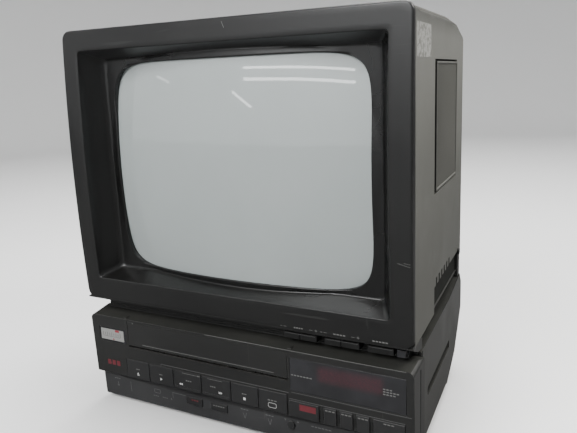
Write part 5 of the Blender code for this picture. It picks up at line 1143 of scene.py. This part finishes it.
def stroke(x, z, end_x, end_z, line):
    """A thin straight line between two places."""
    obj = bar(0.0, 0.0, math.hypot(end_x - x, end_z - z), line)
    obj.rotation_euler = (0.0, -math.atan2(end_z - z, end_x - x), 0.0)
    obj.location = ((x + end_x) / 2, 0.0, (z + end_z) / 2)
    return settle(obj)


def print_on(name, marks, face, ink, body="cabinet", slot="recorder_plastic"):
    """Marks joined and laid on a face, given as its y or as a function of height."""
    piece = joined(name, *marks)
    for point in piece.data.vertices:
        point.co.y += face(point.co.z) if callable(face) else face
    return finish_piece(piece, body, slot, ink)


SYMBOL_Z = 0.0412
LABEL_Z = 0.0463
LABEL_TALL = 0.0011
LEDGE_HALF = 0.0165
LEDGE_DEPTHS = (KEY_FACE - 0.0006, KEY_FACE + SINK)
LEDGE_HEIGHTS = (0.0352, 0.0384)


def make_key_marks():
    """White symbols and a short row of dashes on each of the six keys, and ledges on the two wide ones."""
    symbols = {
        "eject": [wedge(-0.1262, SYMBOL_Z, 0.0034, 90), bar(-0.1262, SYMBOL_Z - 0.0018, 0.0030, 0.0006)],
        "play": [wedge(-0.0942, SYMBOL_Z, 0.0036, 0)],
        "rewind": [wedge(-0.0680, SYMBOL_Z, 0.0030, 180), wedge(-0.0658, SYMBOL_Z, 0.0030, 180)],
        "forward": [wedge(-0.0183, SYMBOL_Z, 0.0030, 0), wedge(-0.0161, SYMBOL_Z, 0.0030, 0)],
        "stop": [bar(0.0120, SYMBOL_Z, 0.0027, 0.0027)],
        "monitor": [outline(0.0442, SYMBOL_Z, 0.0094, 0.0052, 0.00035, 0.0018)],
    }
    labels = {"eject": (-0.1262, 0.0052), "play": (-0.0942, 0.0046), "rewind": (-0.0570, 0.0078),
              "forward": (-0.0262, 0.0070), "stop": (0.0120, 0.0056), "monitor": (0.0442, 0.0110)}
    for key, (x, wide) in labels.items():
        body = key + "_button"
        print_on(key + "_symbol", symbols[key], KEY_FACE, "white_ink", body, "key_plastic")
        print_on(key + "_dashes", dashes(x, LABEL_Z, wide, LABEL_TALL, 3), KEY_FACE, "silver_ink", body,
                 "key_plastic")
    for key, x in (("rewind", -0.0590), ("forward", -0.0224)):
        ledge = mirrored_box(key + "_ledge", (x - LEDGE_HALF, x + LEDGE_HALF), LEDGE_DEPTHS, LEDGE_HEIGHTS)
        finish_piece(round_edges(ledge, 0.0004, 2), key + "_button", "key_plastic", "key")


TIMER_KEYS = {"timer_key_1": (0.1002, 0.1129), "timer_key_2": (0.11665, 0.12935),
              "timer_key_3": (0.1331, 0.1458), "timer_key_4": (0.14955, 0.17895)}
TIMER_GAPS = ((0.0950, 0.1002), (0.1129, 0.11665), (0.12935, 0.1331), (0.1458, 0.14955))
TIMER_LABEL_Z = 0.0490
TIMER_LABEL_WIDEST = 0.0127
TIMER_SLOT_Z = 0.0428
TIMER_SLOT_INSET = 0.001


def make_timer_marks():
    """A red field on the first timer key, dashes on the rest and dark slots between them."""
    print_on("memory_field", [bar(0.08335, 0.0461, 0.0175, 0.0062)], FLUSH_FACE, "red_ink", "memory_button",
             "key_plastic")
    for name, (left, right) in TIMER_KEYS.items():
        wide = min(right - left, TIMER_LABEL_WIDEST) - 0.0018
        print_on(name + "_dashes", dashes((left + right) / 2, TIMER_LABEL_Z, wide, LABEL_TALL, 3), FLUSH_FACE,
                 "silver_ink", name, "key_plastic")
    slots = [bar(x, TIMER_SLOT_Z, 0.0011, 0.0092) for left, right in TIMER_GAPS
             for x in (left + TIMER_SLOT_INSET, right - TIMER_SLOT_INSET)]
    print_on("timer_slots", slots, fascia_face, "black_ink")


BRACKET_Z = 0.0541


def make_fascia_lines():
    """Silver and grey lines, the panel edges, the small marks of the fascia and a painted highlight along its
    top edge.
    """
    print_on("door_line", [bar(-0.0340, 0.0765, 0.1640, 0.0005)], FLUSH_FACE, "silver_ink", "cassette_door")
    panel = [bar(-0.0150, 0.0586, 0.1560, 0.0004), bar(-0.0930, 0.0575, 0.0004, 0.0024)]
    print_on("panel_line", panel, fascia_face, "grey_ink")
    left = [bar(-0.0560, BRACKET_Z, 0.0180, 0.00035)] + dashes(-0.0440, BRACKET_Z, 0.0040, 0.0011, 2)
    print_on("bracket_left", left, KEY_FACE, "silver_ink", "rewind_button", "key_plastic")
    right = [bar(-0.0236, BRACKET_Z, 0.0180, 0.00035)]
    print_on("bracket_right", right, KEY_FACE, "silver_ink", "forward_button", "key_plastic")
    print_on("display_line", [bar(0.1255, 0.0598, 0.1190, 0.0004)], fascia_face, "grey_ink")
    print_on("timer_line", [bar(0.1210, 0.0527, 0.1160, 0.0004)], fascia_face, "grey_ink")
    # Painted highlight: a silver line along the fascia's top edge stands for the light that edge catches
    print_on("fascia_edge_painted_highlight", [bar(0.0745, FASCIA_EDGE_Z - 0.0006, 0.2120, 0.0005)], fascia_face, "silver_ink")
    print_on("red_dashes", dashes(-0.1611, 0.0480, 0.0200, 0.0058, 3), fascia_face, "red_ink")
    print_on("sensor_dot", [bar(-0.1276, 0.0996, 0.0013, 0.0013)], FLUSH_FACE, "silver_ink", "cassette_door")


# Marks of the set-back strip: lines (place, width, height), dash rows (place, width, count), arrows (place,
# heading) and the x of the two V signs
STRIP_LINES = ((-0.1630, 0.0205, 0.0006, 0.0036), (-0.1630, 0.0184, 0.0034, 0.0006),
               (-0.1630, 0.0174, 0.0020, 0.0006), (-0.1440, 0.0200, 0.0005, 0.0120),
               (-0.0845, 0.0218, 0.0005, 0.0070), (-0.0755, 0.0250, 0.0180, 0.0004))
STRIP_DASHES = ((-0.1635, 0.0262, 0.0090, 3), (-0.1085, 0.0160, 0.0080, 3), (-0.0960, 0.0163, 0.0075, 3),
                (0.0075, 0.0258, 0.0100, 3), (0.0370, 0.0258, 0.0100, 3), (0.0940, 0.0255, 0.0220, 6))
STRIP_ARROWS = ((-0.0872, 0.0166, 90), (0.0550, 0.0262, 270), (0.0690, 0.0262, 90))
V_SIGNS = (0.0075, 0.0370)
V_HALF = 0.0021
V_TOP = 0.0222
V_LOW = 0.0158


def make_strip_marks():
    """Grey marks along the set-back strip: a jack symbol, dividers, arrows and label dashes."""
    marks = [bar(*place) for place in STRIP_LINES]
    marks.append(outline(-0.1060, 0.0222, 0.0086, 0.0048, 0.0005, 0.0012))
    for x, z, wide, count in STRIP_DASHES:
        marks += dashes(x, z, wide, 0.0009, count)
    for x in V_SIGNS:
        marks.append(stroke(x - V_HALF, V_TOP, x, V_LOW, 0.0005))
        marks.append(stroke(x, V_LOW, x + V_HALF, V_TOP, 0.0005))
    for x, z, heading in STRIP_ARROWS:
        marks.append(wedge(x, z, 0.0026, heading))
    print_on("strip_marks", marks, fascia_face, "grey_ink")
    print_on("record_dashes", dashes(-0.0545, 0.0225, 0.0095, 0.0013, 3), LOWER_KEY_FACE, "red_ink",
             "record_button", "key_plastic")
    print_on("pause_dashes", dashes(-0.0238, 0.0225, 0.0150, 0.0010, 5), LOWER_KEY_FACE, "silver_ink",
             "pause_button", "key_plastic")


SCALE_CARD = ((-0.1748, -0.1420), (FLUSH_FACE - 0.00012, FLUSH_FACE + SINK), (0.0755, 0.0880))
SCALE_FACE = FLUSH_FACE - 0.0001
TICK_START = -0.1718
TICK_PITCH = 0.0031
TICK_TALL = 0.0042
TICK_SHORT = 0.0026


def make_tuning_scale():
    """The white scale behind the small window, with its ticks, a red figure field and a red pointer."""
    card = mirrored_box("scale_card", *SCALE_CARD)
    bevel_edges(card, lambda edge: reach(edge, 1) > SINK / 2, 0.0006, 3)
    finish_piece(card, "cabinet", "smoked_window", "scale_white")
    ticks = [bar(TICK_START + TICK_PITCH * i, 0.0822, 0.0006, TICK_SHORT if i % 2 else TICK_TALL)
             for i in range(9)]
    ticks.append(bar(-0.1590, 0.0796, 0.0250, 0.0004))
    print_on("scale_ticks", ticks, SCALE_FACE, "grey_ink", slot="smoked_window")
    red = [bar(-0.1512, 0.0866, 0.0056, 0.0026), wedge(-0.1570, 0.0768, 0.0030, 90)]
    print_on("scale_red", red, SCALE_FACE, "signal_red_ink", slot="smoked_window")


DISPLAY_ROWS_X = 0.1587
DISPLAY_ROWS = ((0.0826, 0.0092, 3), (0.0802, 0.0156, 5), (0.0778, 0.0124, 4))


def make_display_marks():
    """Short rows of dashes at the ends of the display's pane."""
    marks = dashes(0.0778, 0.0783, 0.0230, 0.0010, 7)
    for z, wide, count in DISPLAY_ROWS:
        marks += dashes(DISPLAY_ROWS_X + wide / 2, z, wide, 0.0011, count)
    print_on("display_marks", marks, FLUSH_FACE, "silver_ink", slot="smoked_window")


# Marks over the rockers: the height of the row, then a line and a minus left of the dashes, and a line and
# a plus right of them (how far along, width and height)
CHIN_LABEL_Z = 0.1268
CHIN_SIGNS = ((-0.0140, 0.0030, 0.0004), (-0.0180, 0.0022, 0.0005), (0.0130, 0.0034, 0.0004),
              (0.0182, 0.0024, 0.0005), (0.0182, 0.0005, 0.0024))
SCRATCHED = ((0.0112, 0.4040, 0.0138, 0.3985, 0.0004), (0.1745, 0.2000, 0.1855, 0.1974, 0.0003),
             (0.1800, 0.2005, 0.1855, 0.1998, 0.0003))


def print_on_bezel(name, marks):
    print_on(name, marks, bezel_low_face, "silver_ink", slot="charcoal_plastic")


def make_chin_marks():
    """Dashes with a minus and a plus above each rocker, and dashes above the operate key."""
    for name, x, wide in (("volume_marks", 0.0770, 0.0100), ("channel_marks", 0.1185, 0.0125)):
        marks = dashes(x, CHIN_LABEL_Z, wide, 0.0012, 4)
        marks += [bar(x + along, CHIN_LABEL_Z, length, tall) for along, length, tall in CHIN_SIGNS]
        print_on_bezel(name, marks)
    print_on_bezel("operate_dashes", dashes(0.1572, 0.1265, 0.0150, 0.0012, 5))


ROCKER_ENDS = {"volume_rocker": (0.0561, 0.0901), "channel_rocker": (0.0989, 0.1337),
               "operate_button": (0.1417, 0.1660)}
ROCKER_LINE_Z = 0.1164


def make_rocker_lines():
    """A pale line along the top edge of each rocker and the operate key, and the bezel's three scratches."""
    for name, (left, right) in ROCKER_ENDS.items():
        line = bar((left + right) / 2, ROCKER_LINE_Z, right - left - 0.002, 0.0004)
        print_on(name + "_line", [line], ROCKER_FACE, "grey_ink", name, "key_plastic")
    print_on_bezel("bezel_scratches", [stroke(*ends) for ends in SCRATCHED])


FASCIA_END = 0.187
FASCIA_CORNER = 0.006
FASCIA_ROUND = 0.0011
FASCIA_JOINT = ((0.1863, 0.1887), (-0.1624, -0.1604), (0.0, 0.0985))


def make_fascia():
    """The fascia with a broad catch-light edge along its top, softer ends and a joint to the case."""
    fascia = copy_of("vcr_fascia", "vcr_fascia_fine")

    def at_end(edge):
        first, second = edge.verts
        return min(abs(first.co.x), abs(second.co.x)) > FASCIA_END and first.co.x * second.co.x > 0

    def end_edge(edge):
        return at_end(edge) and all(p.co.y < FRONT + 0.0025 for p in edge.verts) and reach(edge, 2) > 0.03

    def top_corner(edge):
        return at_end(edge) and all(p.co.z > 0.102 for p in edge.verts) and reach(edge, 1) > 0.02

    bevel_edges(fascia, top_corner, FASCIA_CORNER, 6)
    bevel_edges(fascia, lambda edge: on_line(edge, FRONT, FASCIA_EDGE_Z) or end_edge(edge), FASCIA_ROUND, 3)
    for side in (-1, 1):
        carve(fascia, mirrored_box("joint", *FASCIA_JOINT, side))
    level(smooth(fascia, 30.0))
    finish_piece(fascia, "cabinet", "recorder_plastic", "recorder", "vcr_fascia")
    # Painted reflection: the set-back strip below the step gets the lighter finish
    refinish(fascia, FINISH["strip"],
             lambda face: face.center.z < STEP_LOW_Z and face.center.y < FRONT + 0.012)
    # Painted shade: the fascia's top, under the television, gets the dark matt finish
    refinish(fascia, FINISH["matt"],
             lambda face: face.center.z > FASCIA_EDGE_Z - 0.001 and face.normal.z > 0.9)


# Cabinet and case sides

SIDES = ((-1, "left"), (1, "right"))
GRILLE_ENDS = (0.0878, 0.2085)
GRILLE_HEIGHTS = (0.2423, 0.3637)
GROOVE = 0.0013
FRONT_GROOVE = 0.0056
RIM = 0.0022
RIM_ENDS = (GRILLE_ENDS[0] + FRONT_GROOVE, GRILLE_ENDS[1] - GROOVE)
RIM_HEIGHTS = (GRILLE_HEIGHTS[0] + GROOVE, GRILLE_HEIGHTS[1] - GROOVE)
RIB_COUNT = 26
RIB_START = RIM_ENDS[0] + RIM
RIB_PITCH = (RIM_ENDS[1] - RIM - RIB_START) / RIB_COUNT
RIB_ENDS = (RIB_START + 0.22 * RIB_PITCH, RIB_START + 0.78 * RIB_PITCH)
PANEL_ENDS = (0.0908, 0.2400)
PANEL_LOW = 0.1252
PANEL_TOP = 0.1500
PAD_RADIUS = 0.0042
PAD_THICK = 0.0024
PAD_DEPTH = 0.2330
VENT_START = 0.0985
VENT_PITCH = 0.0143
VENT_WIDE = 0.0072
VENT_COUNT = 6

# Boxes against the sides: ends along the wall, inner and outer face measured off the wall, and heights
CLOTH = (GRILLE_ENDS, (-0.0036, -0.0028), GRILLE_HEIGHTS)
# The groove's wall is a dark sheet: painted shade in the groove round the grille's rim
GRILLE_GROOVE_PAINTED_SHADE = ((RIM_ENDS[0] - 0.0006, RIM_ENDS[0]), (-0.0034, 0.0003), RIM_HEIGHTS)
GRILLE_RIM = (RIM_ENDS, (-0.0030, 0.0009), RIM_HEIGHTS)
LABEL = ((0.0105, 0.0674), (0.0, 0.00012), (0.3655, 0.3925))
PANEL = (PANEL_ENDS, (-0.0068, -0.0038), (PANEL_LOW, PANEL_TOP))
PANEL_RIM = (PANEL_ENDS, (-0.0050, -0.0025), (PANEL_LOW - 0.0009, PANEL_LOW + 0.0006))
PANEL_LEG = ((0.2370, 0.2492), (-0.0040, -0.0003), (0.1178, PANEL_TOP + 0.006))
VENT = ((VENT_START, VENT_START + VENT_WIDE), (-0.0065, 0.001), (0.1470, 0.1580))
# The groove's floor is a dark sheet: painted shade in the long groove on the case
CASE_GROOVE_PAINTED_SHADE = ((0.0615, 0.1795), (-0.0014, -0.0010), (0.0535, 0.0608))
CASE_SEAM = ((0.0303, 0.0372), (-0.0004, 0.0002), (0.0175, 0.1090))


def side_box(name, ends, out, heights, side=1, along=0.0):
    """A box laid against a cabinet side, moved along the wall where that is given."""
    xs = [CASE_HALF + value for value in out]
    ys = [FRONT + (along + value) for value in ends]
    return mirrored_box(name, xs, ys, heights, side)


def on_side(obj, side=1):
    """Turns a piece that was built square about the case's front corner onto the tapered side."""
    corner = Vector((side * CASE_HALF, FRONT, 0.0))
    turn = Matrix.Rotation(side * SIDE_TAPER, 3, "Z")
    obj.rotation_euler = (0.0, 0.0, side * SIDE_TAPER)
    obj.location = corner - turn @ corner
    return settle(obj)


def inner(ends, wall):
    return ends[0] + wall, ends[1] - wall


def make_grille():
    """The speaker grille: a raised rim in a groove whose wall is painted dark as shade, upright ribs and
    cloth behind them.
    """
    for piece in (side_box("grille_cloth", *CLOTH), side_box("grille_groove_painted_shade", *GRILLE_GROOVE_PAINTED_SHADE)):
        finish_piece(on_side(piece), "cabinet", "cover_plastic", "matt")
    rim = side_box("rim", *GRILLE_RIM)
    carve(rim, side_box("window", inner(RIM_ENDS, RIM), (-0.01, 0.01), inner(RIM_HEIGHTS, RIM)))
    round_edges(rim, 0.0006, 3)
    rib = side_box("rib", RIB_ENDS, (-0.0030, 0.0001), inner(RIM_HEIGHTS, RIM / 2))
    bevel_edges(rib, lambda edge: all(point.co.x > CASE_HALF - 0.001 for point in edge.verts)
                and reach(edge, 2) > 0.01, 0.0009, 3)
    smooth(rib)
    parts = [rim]
    for number in range(1, RIB_COUNT):
        pick(rib)
        bpy.ops.object.duplicate()
        copy = bpy.context.object
        copy.location.y = RIB_PITCH * number
        parts.append(settle(copy))
    grille = joined("speaker_grille_ribs", *parts, rib)
    finish_piece(on_side(grille), "cabinet", "cover_plastic", "grille", "speaker_grille")


def make_label():
    """A bare worn sticker high on the cabinet's right side."""
    label = side_box("bare_label", *LABEL)
    bevel_edges(label, lambda edge: reach(edge, 0) > 0.00005, 0.0012, 3)
    finish_piece(on_side(label), "cabinet", "cover_plastic", "label")


def make_side_panels():
    """The set-back panel low on each side with its pale lower rim, its rear leg and a black pad."""
    for side, word in SIDES:
        panel = round_edges(side_box("side_panel_" + word, *PANEL, side), 0.0005, 2)
        finish_piece(on_side(panel, side), "cabinet", "cover_plastic", "matt")
        rim = side_box("rim", *PANEL_RIM, side)
        leg = side_box("leg", *PANEL_LEG, side)
        trim = joined("side_rim_" + word, *[round_edges(part, 0.0007, 3) for part in (rim, leg)])
        finish_piece(on_side(trim, side), "cabinet", "cover_plastic", "case")
        pad = disc("side_pad_" + word, PAD_RADIUS, PAD_THICK,
                   (side * (CASE_HALF - 0.0004), FRONT + PAD_DEPTH, PANEL_TOP), (side, 0.0, 0.0), 24)
        finish_piece(on_side(round_edges(pad, 0.0008, 3), side), "cabinet", "rubber", "rubber")


def cut_vents(cover):
    """Six upright slots above each side panel."""
    for side, _ in SIDES:
        for number in range(VENT_COUNT):
            carve(cover, on_side(side_box("vent", *VENT, side, VENT_PITCH * number), side))
    return cover


def make_case_seam():
    """A dark joint behind the fascia and, on each side of the case, a dark floor in the long groove as
    painted shade.
    """
    for side, word in SIDES:
        floor = side_box("groove_painted_shade_" + word, *CASE_GROOVE_PAINTED_SHADE, side)
        bevel_edges(floor, lambda edge: reach(edge, 0) > 0.0002, 0.0036, 8)
        strip = round_edges(side_box("case_seam_" + word, *CASE_SEAM, side), 0.00015, 1)
        for piece in (floor, strip):
            finish_piece(on_side(piece, side), "cabinet", "recorder_plastic", "matt")


# Rear

SCREW_SLOT_HALF = 0.0005
SCREW_SLOT_SHARE = 0.32


def make_rear():
    """Cross slots in the rear screws."""
    for number in range(1, 5):
        low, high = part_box(f"rear_screw_{number}")
        x = (low[0] + high[0]) / 2
        z = (low[2] + high[2]) / 2
        half = (high[0] - low[0]) * SCREW_SLOT_SHARE
        marks = [box("slot", (x - wide, high[1] - 0.0002, z - tall), (x + wide, high[1] + 0.00008, z + tall))
                 for wide, tall in ((half, SCREW_SLOT_HALF), (SCREW_SLOT_HALF, half))]
        finish_piece(joined(f"screw_cross_{number}", *marks), "cabinet", "zinc", "black_ink")


set_camera()
make_floor()
set_light()
make_bezel_front()
make_bezel_rest()
make_picture_tube()
make_cover()
make_fascia()
dress_all()
make_key_marks()
make_timer_marks()
make_fascia_lines()
make_strip_marks()
make_tuning_scale()
make_display_marks()
make_chin_marks()
make_rocker_lines()
make_grille()
make_label()
make_side_panels()
make_case_seam()
make_rear()
finish_inside()
